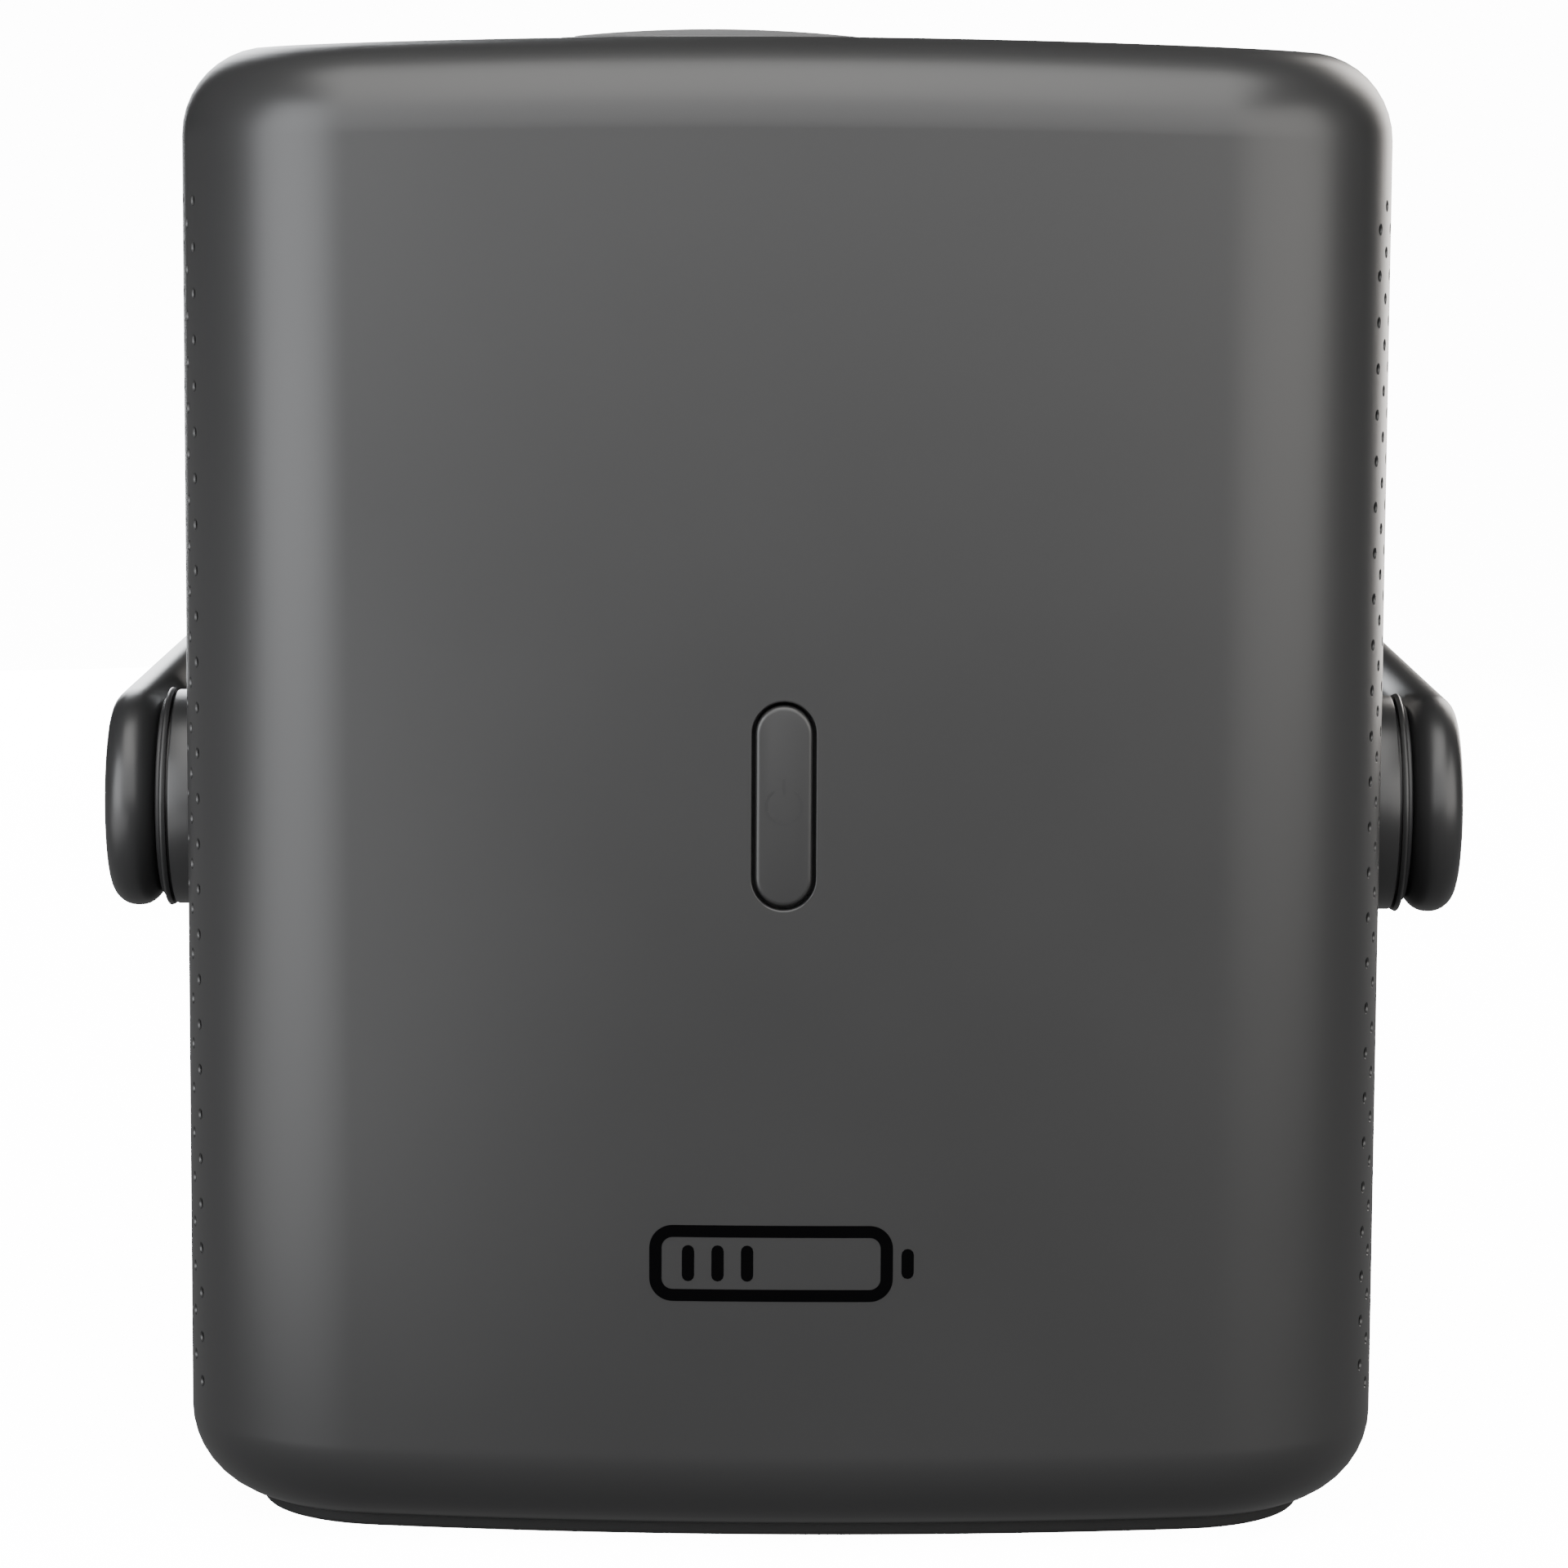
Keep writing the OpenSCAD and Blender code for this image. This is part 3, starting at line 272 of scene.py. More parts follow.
def moulded_grain_group():
    group, given, result = new_group(
        "moulded_grain",
        {"Grain per metre": 3500, "Roughness": 0.45, "Roughness spread": 0.06, "Tint spread": 0.06},
        ("Height", "Roughness", "Tint"),
    )
    place = group.nodes.new("ShaderNodeTexCoord").outputs["Object"]
    fine = noise(group, place, given.outputs["Grain per metre"], 2)
    coarse = noise(group, place, math_node(group, "MULTIPLY", given.outputs["Grain per metre"], 0.31), 1)
    height = math_node(
        group, "ADD", math_node(group, "MULTIPLY", fine, 0.7), math_node(group, "MULTIPLY", coarse, 0.3)
    )
    handling = noise(group, place, 26, 4)
    centred = math_node(group, "SUBTRACT", handling, 0.5)
    rough = math_node(
        group, "ADD", given.outputs["Roughness"],
        math_node(group, "MULTIPLY", centred, given.outputs["Roughness spread"]),
    )
    speck = math_node(group, "SUBTRACT", height, 0.5)
    tint = math_node(
        group, "ADD", 1.0,
        math_node(group, "MULTIPLY", math_node(group, "ADD", speck, centred), given.outputs["Tint spread"]),
    )
    group.links.new(height, result.inputs["Height"])
    group.links.new(rough, result.inputs["Roughness"])
    group.links.new(tint, result.inputs["Tint"])
    return group


MOULDED_GRAIN = moulded_grain_group()
print("group", MOULDED_GRAIN.name)

# %% [markdown]
# Metal from a rolled sheet or a lathe shows long fine scratches in one direction. A second group
# stretches noise along one axis for that.

# %% Shader group for brushed metal


def brushed_group():
    group, given, result = new_group(
        "brushed_lines",
        {"Lines per metre": 6000, "Roughness": 0.3, "Roughness spread": 0.2},
        ("Height", "Roughness"),
    )
    place = group.nodes.new("ShaderNodeTexCoord").outputs["Object"]
    stretch = group.nodes.new("ShaderNodeMapping")
    stretch.inputs["Scale"].default_value = (0.04, 1, 1)
    group.links.new(place, stretch.inputs["Vector"])
    lines = noise(group, stretch.outputs["Vector"], given.outputs["Lines per metre"], 2)
    centred = math_node(group, "SUBTRACT", lines, 0.5)
    rough = math_node(
        group, "ADD", given.outputs["Roughness"],
        math_node(group, "MULTIPLY", centred, given.outputs["Roughness spread"]),
    )
    group.links.new(lines, result.inputs["Height"])
    group.links.new(rough, result.inputs["Roughness"])
    return group


BRUSHED_LINES = brushed_group()
print("group", BRUSHED_LINES.name)

# %% [markdown]
# Each finish is one short call: its colour, how rough it is, how coarse its grain is and how deep.

# %% Materials


def plain_shader(name, colour, metallic=0.0, **fixed):
    finish = bpy.data.materials.new(name)
    finish.use_nodes = True
    shader = finish.node_tree.nodes["Principled BSDF"]
    shader.inputs["Base Color"].default_value = (*colour, 1)
    shader.inputs["Metallic"].default_value = metallic
    for title, value in fixed.items():
        shader.inputs[title.replace("_", " ")].default_value = value
    return finish, finish.node_tree, shader


def add_bump(tree, shader, height, depth):
    bump = tree.nodes.new("ShaderNodeBump")
    bump.inputs["Strength"].default_value = 1.0
    bump.inputs["Distance"].default_value = depth
    tree.links.new(height, bump.inputs["Height"])
    tree.links.new(bump.outputs["Normal"], shader.inputs["Normal"])


def moulded(name, colour, roughness, grain=3500, depth=0.006 * MM, spread=0.06, tint=0.06, **fixed):
    finish, tree, shader = plain_shader(name, colour, **fixed)
    group = tree.nodes.new("ShaderNodeGroup")
    group.node_tree = MOULDED_GRAIN
    group.inputs["Grain per metre"].default_value = grain
    group.inputs["Roughness"].default_value = roughness
    group.inputs["Roughness spread"].default_value = spread
    group.inputs["Tint spread"].default_value = tint
    scaled = tree.nodes.new("ShaderNodeVectorMath")
    scaled.operation = "SCALE"
    scaled.inputs[0].default_value = colour
    tree.links.new(group.outputs["Tint"], scaled.inputs["Scale"])
    tree.links.new(scaled.outputs["Vector"], shader.inputs["Base Color"])
    tree.links.new(group.outputs["Roughness"], shader.inputs["Roughness"])
    add_bump(tree, shader, group.outputs["Height"], depth)
    return finish


def brushed(name, colour, roughness, lines=6000, depth=0.003 * MM):
    finish, tree, shader = plain_shader(name, colour, metallic=1.0)
    group = tree.nodes.new("ShaderNodeGroup")
    group.node_tree = BRUSHED_LINES
    group.inputs["Lines per metre"].default_value = lines
    group.inputs["Roughness"].default_value = roughness
    tree.links.new(group.outputs["Roughness"], shader.inputs["Roughness"])
    add_bump(tree, shader, group.outputs["Height"], depth)
    return finish


def circuit_board():
    finish, tree, shader = plain_shader("circuit_board", (0.012, 0.07, 0.03), Coat_Weight=0.5)
    place = tree.nodes.new("ShaderNodeTexCoord").outputs["Object"]
    tracks = tree.nodes.new("ShaderNodeTexVoronoi")
    tracks.distance = "CHEBYCHEV"
    tracks.feature = "F1"
    tracks.inputs["Scale"].default_value = 260
    tracks.inputs["Randomness"].default_value = 0.6
    tree.links.new(place, tracks.inputs["Vector"])
    edge = tree.nodes.new("ShaderNodeValToRGB")
    edge.color_ramp.interpolation = "CONSTANT"
    edge.color_ramp.elements[0].color = (0.012, 0.07, 0.03, 1)
    edge.color_ramp.elements[1].position = 0.42
    edge.color_ramp.elements[1].color = (0.02, 0.13, 0.055, 1)
    pad = edge.color_ramp.elements.new(0.09)
    pad.color = (0.012, 0.07, 0.03, 1)
    edge.color_ramp.elements[0].color = (0.6, 0.6, 0.56, 1)
    tree.links.new(tracks.outputs["Distance"], edge.inputs["Fac"])
    tree.links.new(edge.outputs["Color"], shader.inputs["Base Color"])
    shader.inputs["Roughness"].default_value = 0.32
    add_bump(tree, shader, tracks.outputs["Distance"], 0.02 * MM)
    return finish


FINISH = {
    "housing": moulded("satin_grey_plastic", (0.021, 0.021, 0.0213), 0.36),
    "handle": moulded("satin_dark_plastic", (0.02, 0.02, 0.0205), 0.34, grain=4200, depth=0.004 * MM),
    "black_plastic": moulded("black_plastic", (0.014, 0.014, 0.015), 0.5, grain=3000, depth=0.01 * MM),
    "rubber": moulded("foot_rubber", (0.01, 0.01, 0.01), 0.72, grain=2600, depth=0.02 * MM, tint=0.2),
    "pad": moulded("soft_touch_rubber", (0.1, 0.1, 0.102), 0.6, grain=5200, depth=0.008 * MM),
    "screw_steel": brushed("zinc_plated_steel", (0.5, 0.5, 0.52), 0.34),
    "port_steel": brushed("stamped_steel", (0.62, 0.62, 0.63), 0.28),
    "brass": brushed("gold_flashed_brass", (0.78, 0.57, 0.26), 0.3),
    "copper": brushed("enamelled_copper", (0.7, 0.33, 0.16), 0.34, lines=2200, depth=0.02 * MM),
    "circuit_board": circuit_board(),
    "screen": moulded("dark_screen", (0.004, 0.0045, 0.006), 0.12, grain=800, depth=0.0, spread=0.05,
                      Coat_Weight=0.6),
    "lens": moulded("milky_lens", (0.72, 0.72, 0.69), 0.3, grain=1500, depth=0.004 * MM,
                    Subsurface_Weight=0.3, Subsurface_Radius=(0.004, 0.004, 0.004)),
    "port_blue": moulded("blue_tongue_plastic", (0.015, 0.11, 0.42), 0.34),
    "cell_wrap": moulded("blue_shrink_sleeve", (0.02, 0.085, 0.26), 0.26, grain=900, depth=0.01 * MM),
    "lead_red": moulded("red_silicone", (0.42, 0.015, 0.012), 0.5, grain=2000),
    "aluminium": brushed("extruded_aluminium", (0.66, 0.67, 0.68), 0.36, lines=3000),
    "core": moulded("taped_core", (0.23, 0.15, 0.06), 0.45, grain=1200, depth=0.02 * MM, tint=0.3),
    "capacitor": moulded("capacitor_sleeve", (0.012, 0.016, 0.045), 0.25, grain=900),
    "print": moulded("black_print", (0.0008, 0.0008, 0.001), 0.4, grain=5000, depth=0.002 * MM,
                     Specular_IOR_Level=0.03),
}
print(len(FINISH), "finishes")

# %% [markdown]
# ## Building pieces
# Nearly every part here is a loft: rings of points, each a little smaller or higher than the one
# before, joined by quads. A rounded outline that shrinks evenly along a quarter circle makes a
# soft edge of any radius, without a bevel that has to guess. Points are made where the piece
# belongs, so every object stays at the origin.

# %% Helpers for meshes
SMOOTH_ANGLE = math.radians(32)


def add_piece(name, points, faces, finish, close=True):
    mesh = bpy.data.meshes.new(name)
    mesh.from_pydata([tuple(p) for p in points], [], faces)
    shape = bmesh.new()
    shape.from_mesh(mesh)
    bmesh.ops.remove_doubles(shape, verts=shape.verts, dist=0.0005 * MM)
    if close:
        bmesh.ops.recalc_face_normals(shape, faces=shape.faces)
    shape.to_mesh(mesh)
    shape.free()
    mesh.materials.append(FINISH[finish])
    smooth(mesh)
    piece = bpy.data.objects.new(name, mesh)
    bpy.context.scene.collection.objects.link(piece)
    return piece


def smooth(mesh, angle=SMOOTH_ANGLE):
    mesh.shade_smooth()
    mesh.set_sharp_from_angle(angle=angle)


def loft(rings, capped=True, closed=False):
    """Points and faces of a skin over equal rings. A closed loft joins its last ring to its first."""
    count = len(rings[0])
    points = [p for ring in rings for p in ring]
    faces = []
    spans = len(rings) if closed else len(rings) - 1
    for i in range(spans):
        a, b = i * count, (i + 1) % len(rings) * count
        for j in range(count):
            k = (j + 1) % count
            faces.append((a + j, a + k, b + k, b + j))
    if capped and not closed:
        faces.append(tuple(range(count))[::-1])
        faces.append(tuple(range(len(points) - count, len(points))))
    return points, faces


def rounded_outline(width, height, radius, steps=8):
    """A rounded rectangle about the origin, anticlockwise, always with 4 * (steps + 1) points."""
    radius = max(min(radius, width / 2, height / 2), 1e-6)
    outline = []
    for corner, (sx, sy) in enumerate(((1, 1), (-1, 1), (-1, -1), (1, -1))):
        for i in range(steps + 1):
            a = math.radians(90 * corner + 90 * i / steps)
            outline.append((sx * (width / 2 - radius) + radius * math.cos(a),
                            sy * (height / 2 - radius) + radius * math.sin(a)))
    return outline


def edge_levels(low, high, radius, steps=4):
    """(inset, height) pairs of a plate from low to high with a rounded top edge."""
    arc = [(radius * (1 - math.cos(a)), radius * math.sin(a)) for a in np.linspace(0, math.pi / 2, steps + 1)]
    return [(0, low)] + [(inset, high - radius + rise) for inset, rise in arc]


def plate(name, centre, size, radius, levels, turn, finish, steps=8):
    """A plate with a rounded outline. turn puts (across, up, out) where the piece faces."""
    rings = []
    for inset, height in levels:
        outline = rounded_outline(size[0] - 2 * inset, size[1] - 2 * inset, radius - inset, steps)
        rings.append([turn(centre[0] + u, centre[1] + v, height) for u, v in outline])
    return add_piece(name, *loft(rings), finish)


def facing_rear(u, v, out):
    return (u, out, v)


def facing_up(u, v, out):
    return (u, v, out)


def lathe(name, profile, turn, finish, steps=64, closed=False):
    """Turns a profile of (radius, along) about an axis. A closed profile makes a ring."""
    rings = []
    for radius, along in profile:
        ring = []
        for i in range(steps):
            a = 2 * math.pi * i / steps
            ring.append(turn(radius * math.cos(a), radius * math.sin(a), along))
        rings.append(ring)
    return add_piece(name, *loft(rings, closed=closed), finish)


def about_x(centre, side=1):
    """Axis along X through centre: out is measured from x = 0 away from the middle on that side."""
    return lambda u, v, out: (side * out, centre.y + u, centre.z + v)


def finished(piece, body, slot, *nodes):
    if nodes:
        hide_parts(*nodes)
    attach(piece, body)
    return piece


def baked(piece):
    """The piece with its modifiers applied, as one plain mesh."""
    graph = bpy.context.evaluated_depsgraph_get()
    mesh = bpy.data.meshes.new_from_object(piece.evaluated_get(graph))
    piece.modifiers.clear()
    piece.data = mesh
    return piece


def join(name, pieces):
    """One object that holds the meshes of several."""
    shape = bmesh.new()
    for piece in pieces:
        shape.from_mesh(piece.data)
    mesh = bpy.data.meshes.new(name)
    shape.to_mesh(mesh)
    shape.free()
    for finish in pieces[0].data.materials:
        mesh.materials.append(finish)
    for piece in pieces:
        bpy.data.objects.remove(piece)
    smooth(mesh)
    whole = bpy.data.objects.new(name, mesh)
    bpy.context.scene.collection.objects.link(whole)
    return whole


def combine(piece, cutters, operation="DIFFERENCE"):
    """Cuts the cutters out of the piece, or joins them to it, and removes them."""
    for cutter in cutters:
        step = piece.modifiers.new("cut", "BOOLEAN")
        step.object = cutter
        step.operation = operation
        step.solver = "MANIFOLD"
        bpy.context.view_layer.update()
        baked(piece)
        bpy.data.objects.remove(cutter)
    return piece


print("helpers ready")

# %% [markdown]
# ## The housing
# The outline is written as points with their outward normals, so that moving a point inwards is
# one multiplication. The front housing takes the part before the split, the rear cover the rest.

# %% Outline of the housing
CORNER_STEPS = 20
FRONT_STEPS = 36
SIDE_STEPS = 8


def arc_points(centre, radius, start, end, steps):
    for a in np.linspace(start, end, steps + 1):
        n = np.array((math.cos(a), math.sin(a)))
        yield np.array(centre) + radius * n, n


def right_half_front():
    """From the middle of the front, round the right corner and back to the split."""
    tangent = -math.pi / 2 + BULGE_ANGLE
    path = list(arc_points((0, BULGE_Y), BULGE_R, -math.pi / 2, tangent, FRONT_STEPS // 2))
    path += list(arc_points((CORNER_X, FRONT_CORNER_Y), CORNER_R, tangent, 0, CORNER_STEPS))[1:]
    for y in np.linspace(FRONT_CORNER_Y, SPLIT_Y, SIDE_STEPS + 1)[1:]:
        path.append((np.array((HALF_W, y)), np.array((1.0, 0.0))))
    return path


def mirrored(path):
    flip = np.array((-1, 1))
    return [(p * flip, n * flip) for p, n in path[::-1]]


right_front = right_half_front()
front_path = mirrored(right_front)[:-1] + right_front
right_rear = list(arc_points((CORNER_X, REAR_CORNER_Y), CORNER_R, 0, math.pi / 2, CORNER_STEPS))
REAR_STEPS = 15
rear_straight = [(np.array((x, REAR_Y)), np.array((0.0, 1.0)))
                 for x in np.linspace(CORNER_X, -CORNER_X, REAR_STEPS + 1)[1:-1]]
rear_path = right_rear + rear_straight + mirrored(right_rear)
print(len(front_path), "points round the front,", len(rear_path), "round the rear")

# %% [markdown]
# The top isn't quite flat: it falls by about 2 mm from its middle to its sides, which is what
# bends the upper edge in the front view. A flat moulded face looks sunken, so makers crown it.

# %% Crown of the top
FLAT_HALF = HALF_W - EDGE_R
LOW_Z = FLOOR_Z + EDGE_R
HIGH_Z = TOP_Z - EDGE_R


def fall(x):
    """How far the top has fallen at a distance x from the middle."""
    return TOP_CROWN * (x / FLAT_HALF) ** 2


def crowned(p, n, move, z):
    """A point of the skin: the path point moved inwards, and lowered with the crown above the lower edge."""
    share = min(max((z - LOW_Z) / (HIGH_Z - LOW_Z), 0), 1)
    x, y = p - n * move
    return (x, y, z - share * fall(p[0] - n[0] * EDGE_R))


print("the sides of the top are", round(fall(FLAT_HALF) / MM, 1), "mm lower")

# %% [markdown]
# A shell is an outer skin, the same skin moved inwards by the wall, and a rim between them at the
# split. The outer edge of the rim has a small chamfer, as two mould halves leave, and it makes the
# fine line where the cover meets the housing. The top is a row of strips from the front or rear
# edge to the split, so that it can follow the crown.

# %% Shell between an outer and an inner skin
EDGE_STEPS = 10
SEAM_CHAMFER = 0.3 * MM


def section_rows(inset):
    """(angle, move inwards, height) of each row of the skin, from the bottom to the top."""
    radius = EDGE_R - inset
    rows = [(a, EDGE_R - radius * math.cos(a), LOW_Z + radius * math.sin(a))
            for a in np.linspace(-math.pi / 2, 0, EDGE_STEPS + 1)]
    rows += [(0.0, inset, z) for z in np.linspace(LOW_Z, HIGH_Z, 13)[1:-1]]
    rows += [(a, EDGE_R - radius * math.cos(a), HIGH_Z + radius * math.sin(a))
             for a in np.linspace(0, math.pi / 2, EDGE_STEPS + 1)]
    return rows


def shell(name, path, finish):
    points, faces, loops = [], [], []
    split = path[0][0][1]
    away = -1 if path[0][0][0] < 0 else 1         # from the split into the piece, along Y

    def put(ring):
        points.extend(ring)
        return list(range(len(points) - len(ring), len(points)))

    columns = [j for j, (p, n) in enumerate(path) if abs(p[0] - n[0] * EDGE_R) < FLAT_HALF - 0.01 * MM]
    first, last = columns[0], columns[-1]
    for inset in (0, WALL):
        rows = [put([crowned(p, n, move, z) for p, n in path]) for _, move, z in section_rows(inset)]
        for low, high in zip(rows, rows[1:]):
            faces += [(low[j], low[j + 1], high[j + 1], high[j]) for j in range(len(low) - 1)]
        top = rows[-1]
        line = put([(points[top[j]][0], split, points[top[j]][2]) for j in columns])
        faces += [tuple(rows[0]), (*top[:first + 1], line[0]), (line[-1], *top[last:])]
        faces += [(top[j], top[j + 1], line[k + 1], line[k]) for k, j in enumerate(columns[:-1])]
        loops.append([row[0] for row in rows] + line + [row[-1] for row in rows[::-1]])
    outer, inner = loops
    count = len(section_rows(0))
    chamfer = []
    for k, index in enumerate(outer):
        x, y, z = points[index]
        row = k if k < count else len(outer) - 1 - k
        a = section_rows(0)[row][0] if row < count else math.pi / 2
        inwards = math.copysign(SEAM_CHAMFER * math.cos(a), x)
        chamfer.append((x - inwards, split, z - SEAM_CHAMFER * math.sin(a)))
        points[index] = (x, y + away * SEAM_CHAMFER, z)
    chamfer = put(chamfer)
    for a, b in ((outer, chamfer), (chamfer, inner)):
        faces += [(a[i], a[(i + 1) % len(a)], b[(i + 1) % len(a)], b[i]) for i in range(len(a))]
    return add_piece(name, points, faces, finish)


front_housing = shell("front_housing_shell", front_path, "housing")
rear_cover = shell("rear_cover_shell", rear_path, "housing")
print(len(front_housing.data.polygons), "faces before the holes")

# %% [markdown]
# ## Air holes
# The sides have columns of small holes in a staggered grid that runs round the front corners. They
# follow a rule, so Geometry Nodes place them: a path along the side becomes points one column
# apart, each point carries a line of rows, every second column is half a row higher, and a drill
# with a small countersink stands on every point, facing out. Drills near the hub are left out.

# %% Geometry Nodes tree for the drills
HOLE_PITCH = 7.57 * MM
HOLE_ROWS = 27
HOLE_COLUMNS = 21
FIRST_HOLE_Z = 22.6 * MM
FIRST_HOLE_ANGLE = 24
HOLE_R = 0.8 * MM
SINK_R = 1.02 * MM
SINK_DEPTH = 0.3 * MM
HUB_CLEAR_R = 20.6 * MM


def drill_bit():
    """A drill of 12 sides that points along +Z, with its countersink at z = 0."""
    profile = [(HOLE_R, -WALL - 1 * MM), (HOLE_R, -SINK_DEPTH), (SINK_R, 0), (SINK_R + 0.6 * MM, 0.6 * MM)]
    return lathe("drill_bit", profile, facing_up, "housing", steps=12)


def side_path(side):
    """The line that the columns stand on, from the front corner to the rear, or back on the left."""
    length = (HOLE_COLUMNS - 1) * HOLE_PITCH / 2
    arc = CORNER_R * math.radians(FIRST_HOLE_ANGLE)
    line = []
    for s in np.linspace(0, length, 161):
        if s < arc:
            a = math.radians(-FIRST_HOLE_ANGLE) + s / CORNER_R
            line.append((CORNER_X + CORNER_R * math.cos(a), FRONT_CORNER_Y + CORNER_R * math.sin(a), 0))
        else:
            line.append((HALF_W, FRONT_CORNER_Y + s - arc, 0))
    return line if side > 0 else [(-x, y, z) for x, y, z in line[::-1]]


def drill_tree(bit):
    tree = bpy.data.node_groups.new("air_hole_drills", "GeometryNodeTree")
    face = tree.interface
    face.new_socket(name="Geometry", in_out="INPUT", socket_type="NodeSocketGeometry")
    sizes = {"Column spacing": "NodeSocketFloat", "Row spacing": "NodeSocketFloat", "Rows": "NodeSocketInt",
             "First row": "NodeSocketFloat", "Last row": "NodeSocketFloat",
             "Clear centre": "NodeSocketVector", "Clear radius": "NodeSocketFloat"}
    for title, kind in sizes.items():
        face.new_socket(name=title, in_out="INPUT", socket_type=kind)
    face.new_socket(name="Geometry", in_out="OUTPUT", socket_type="NodeSocketGeometry")
    add, link = tree.nodes.new, tree.links.new
    given, result = add("NodeGroupInput"), add("NodeGroupOutput")
    to_curve = add("GeometryNodeMeshToCurve")
    columns = add("GeometryNodeCurveToPoints")
    columns.mode = "LENGTH"
    link(given.outputs["Geometry"], to_curve.inputs["Mesh"])
    link(to_curve.outputs["Curve"], columns.inputs["Curve"])
    link(given.outputs["Column spacing"], columns.inputs["Length"])
    outward = add("ShaderNodeVectorMath")
    outward.operation = "CROSS_PRODUCT"
    outward.inputs[1].default_value = (0, 0, 1)
    link(columns.outputs["Tangent"], outward.inputs[0])
    keep = add("GeometryNodeStoreNamedAttribute")
    keep.data_type = "FLOAT_VECTOR"
    keep.inputs["Name"].default_value = "outward"
    link(columns.outputs["Points"], keep.inputs["Geometry"])
    link(outward.outputs["Vector"], keep.inputs["Value"])
    parity = math_node(tree, "MODULO", add("GeometryNodeInputIndex").outputs["Index"], 2)
    lower = math_node(tree, "SUBTRACT", 1.0, parity)
    lift = math_node(tree, "MULTIPLY", lower, math_node(tree, "MULTIPLY", given.outputs["Row spacing"], 0.5))
    start = add("ShaderNodeCombineXYZ")
    link(math_node(tree, "ADD", lift, given.outputs["First row"]), start.inputs["Z"])
    stagger = add("GeometryNodeSetPosition")
    link(keep.outputs["Geometry"], stagger.inputs["Geometry"])
    link(start.outputs["Vector"], stagger.inputs["Offset"])
    step = add("ShaderNodeCombineXYZ")
    link(given.outputs["Row spacing"], step.inputs["Z"])
    rows = add("GeometryNodeMeshLine")
    link(given.outputs["Rows"], rows.inputs["Count"])
    link(step.outputs["Vector"], rows.inputs["Offset"])
    grid = add("GeometryNodeInstanceOnPoints")
    link(stagger.outputs["Geometry"], grid.inputs["Points"])
    link(rows.outputs["Mesh"], grid.inputs["Instance"])
    spread = add("GeometryNodeRealizeInstances")
    link(grid.outputs["Instances"], spread.inputs["Geometry"])
    place = add("GeometryNodeInputPosition")
    flat = add("ShaderNodeVectorMath")
    flat.operation = "MULTIPLY"
    flat.inputs[1].default_value = (0, 1, 1)
    link(place.outputs["Position"], flat.inputs[0])
    away = add("ShaderNodeVectorMath")
    away.operation = "DISTANCE"
    link(flat.outputs["Vector"], away.inputs[0])
    link(given.outputs["Clear centre"], away.inputs[1])
    height = add("ShaderNodeSeparateXYZ")
    link(place.outputs["Position"], height.inputs["Vector"])
    wanted = math_node(
        tree, "MULTIPLY",
        math_node(tree, "GREATER_THAN", away.outputs["Value"], given.outputs["Clear radius"]),
        math_node(tree, "LESS_THAN", height.outputs["Z"], given.outputs["Last row"]),
    )
    aim = add("FunctionNodeAlignRotationToVector")
    aim.axis = "Z"
    named = add("GeometryNodeInputNamedAttribute")
    named.data_type = "FLOAT_VECTOR"
    named.inputs["Name"].default_value = "outward"
    link(named.outputs["Attribute"], aim.inputs["Vector"])
    drill = add("GeometryNodeObjectInfo")
    drill.inputs["Object"].default_value = bit
    drill.inputs["As Instance"].default_value = True
    holes = add("GeometryNodeInstanceOnPoints")
    link(spread.outputs["Geometry"], holes.inputs["Points"])
    link(wanted, holes.inputs["Selection"])
    link(drill.outputs["Geometry"], holes.inputs["Instance"])
    link(aim.outputs["Rotation"], holes.inputs["Rotation"])
    solid = add("GeometryNodeRealizeInstances")
    coat = add("GeometryNodeSetMaterial")
    coat.inputs["Material"].default_value = FINISH["housing"]
    link(holes.outputs["Instances"], solid.inputs["Geometry"])
    link(solid.outputs["Geometry"], coat.inputs["Geometry"])
    link(coat.outputs["Geometry"], result.inputs["Geometry"])
    return tree


def set_inputs(modifier, values):
    """Sets a Geometry Nodes modifier's inputs by their sockets' identifiers."""
    for item in modifier.node_group.interface.items_tree:
        if item.item_type == "SOCKET" and item.in_out == "INPUT" and item.name in values:
            modifier[item.identifier] = values[item.name]


bit = drill_bit()
tree = drill_tree(bit)
hole_cutters = []
for side in (-1, 1):
    line = side_path(side)
    mesh = bpy.data.meshes.new("side_line")
    mesh.from_pydata(line, [(i, i + 1) for i in range(len(line) - 1)], [])
    drills = bpy.data.objects.new("drills", mesh)
    bpy.context.scene.collection.objects.link(drills)
    step = drills.modifiers.new("drills", "NODES")
    step.node_group = tree
    set_inputs(step, {
        "Column spacing": HOLE_PITCH / 2, "Row spacing": HOLE_PITCH, "Rows": HOLE_ROWS,
        "First row": FIRST_HOLE_Z, "Last row": FIRST_HOLE_Z + (HOLE_ROWS - 0.75) * HOLE_PITCH,
        "Clear centre": (0, PIVOT.y, PIVOT.z), "Clear radius": HUB_CLEAR_R,
    })
    bpy.context.view_layer.update()
    baked(drills)
    hole_cutters.append(drills)
    print("side", side, "has", len(drills.data.vertices) // len(bit.data.vertices), "holes")
bpy.data.objects.remove(bit)

# %% [markdown]
# The other openings are cut as a mill would cut them. The button's slot gets a softly rounded
# mouth, made by letting the cutter flare where it meets the face.

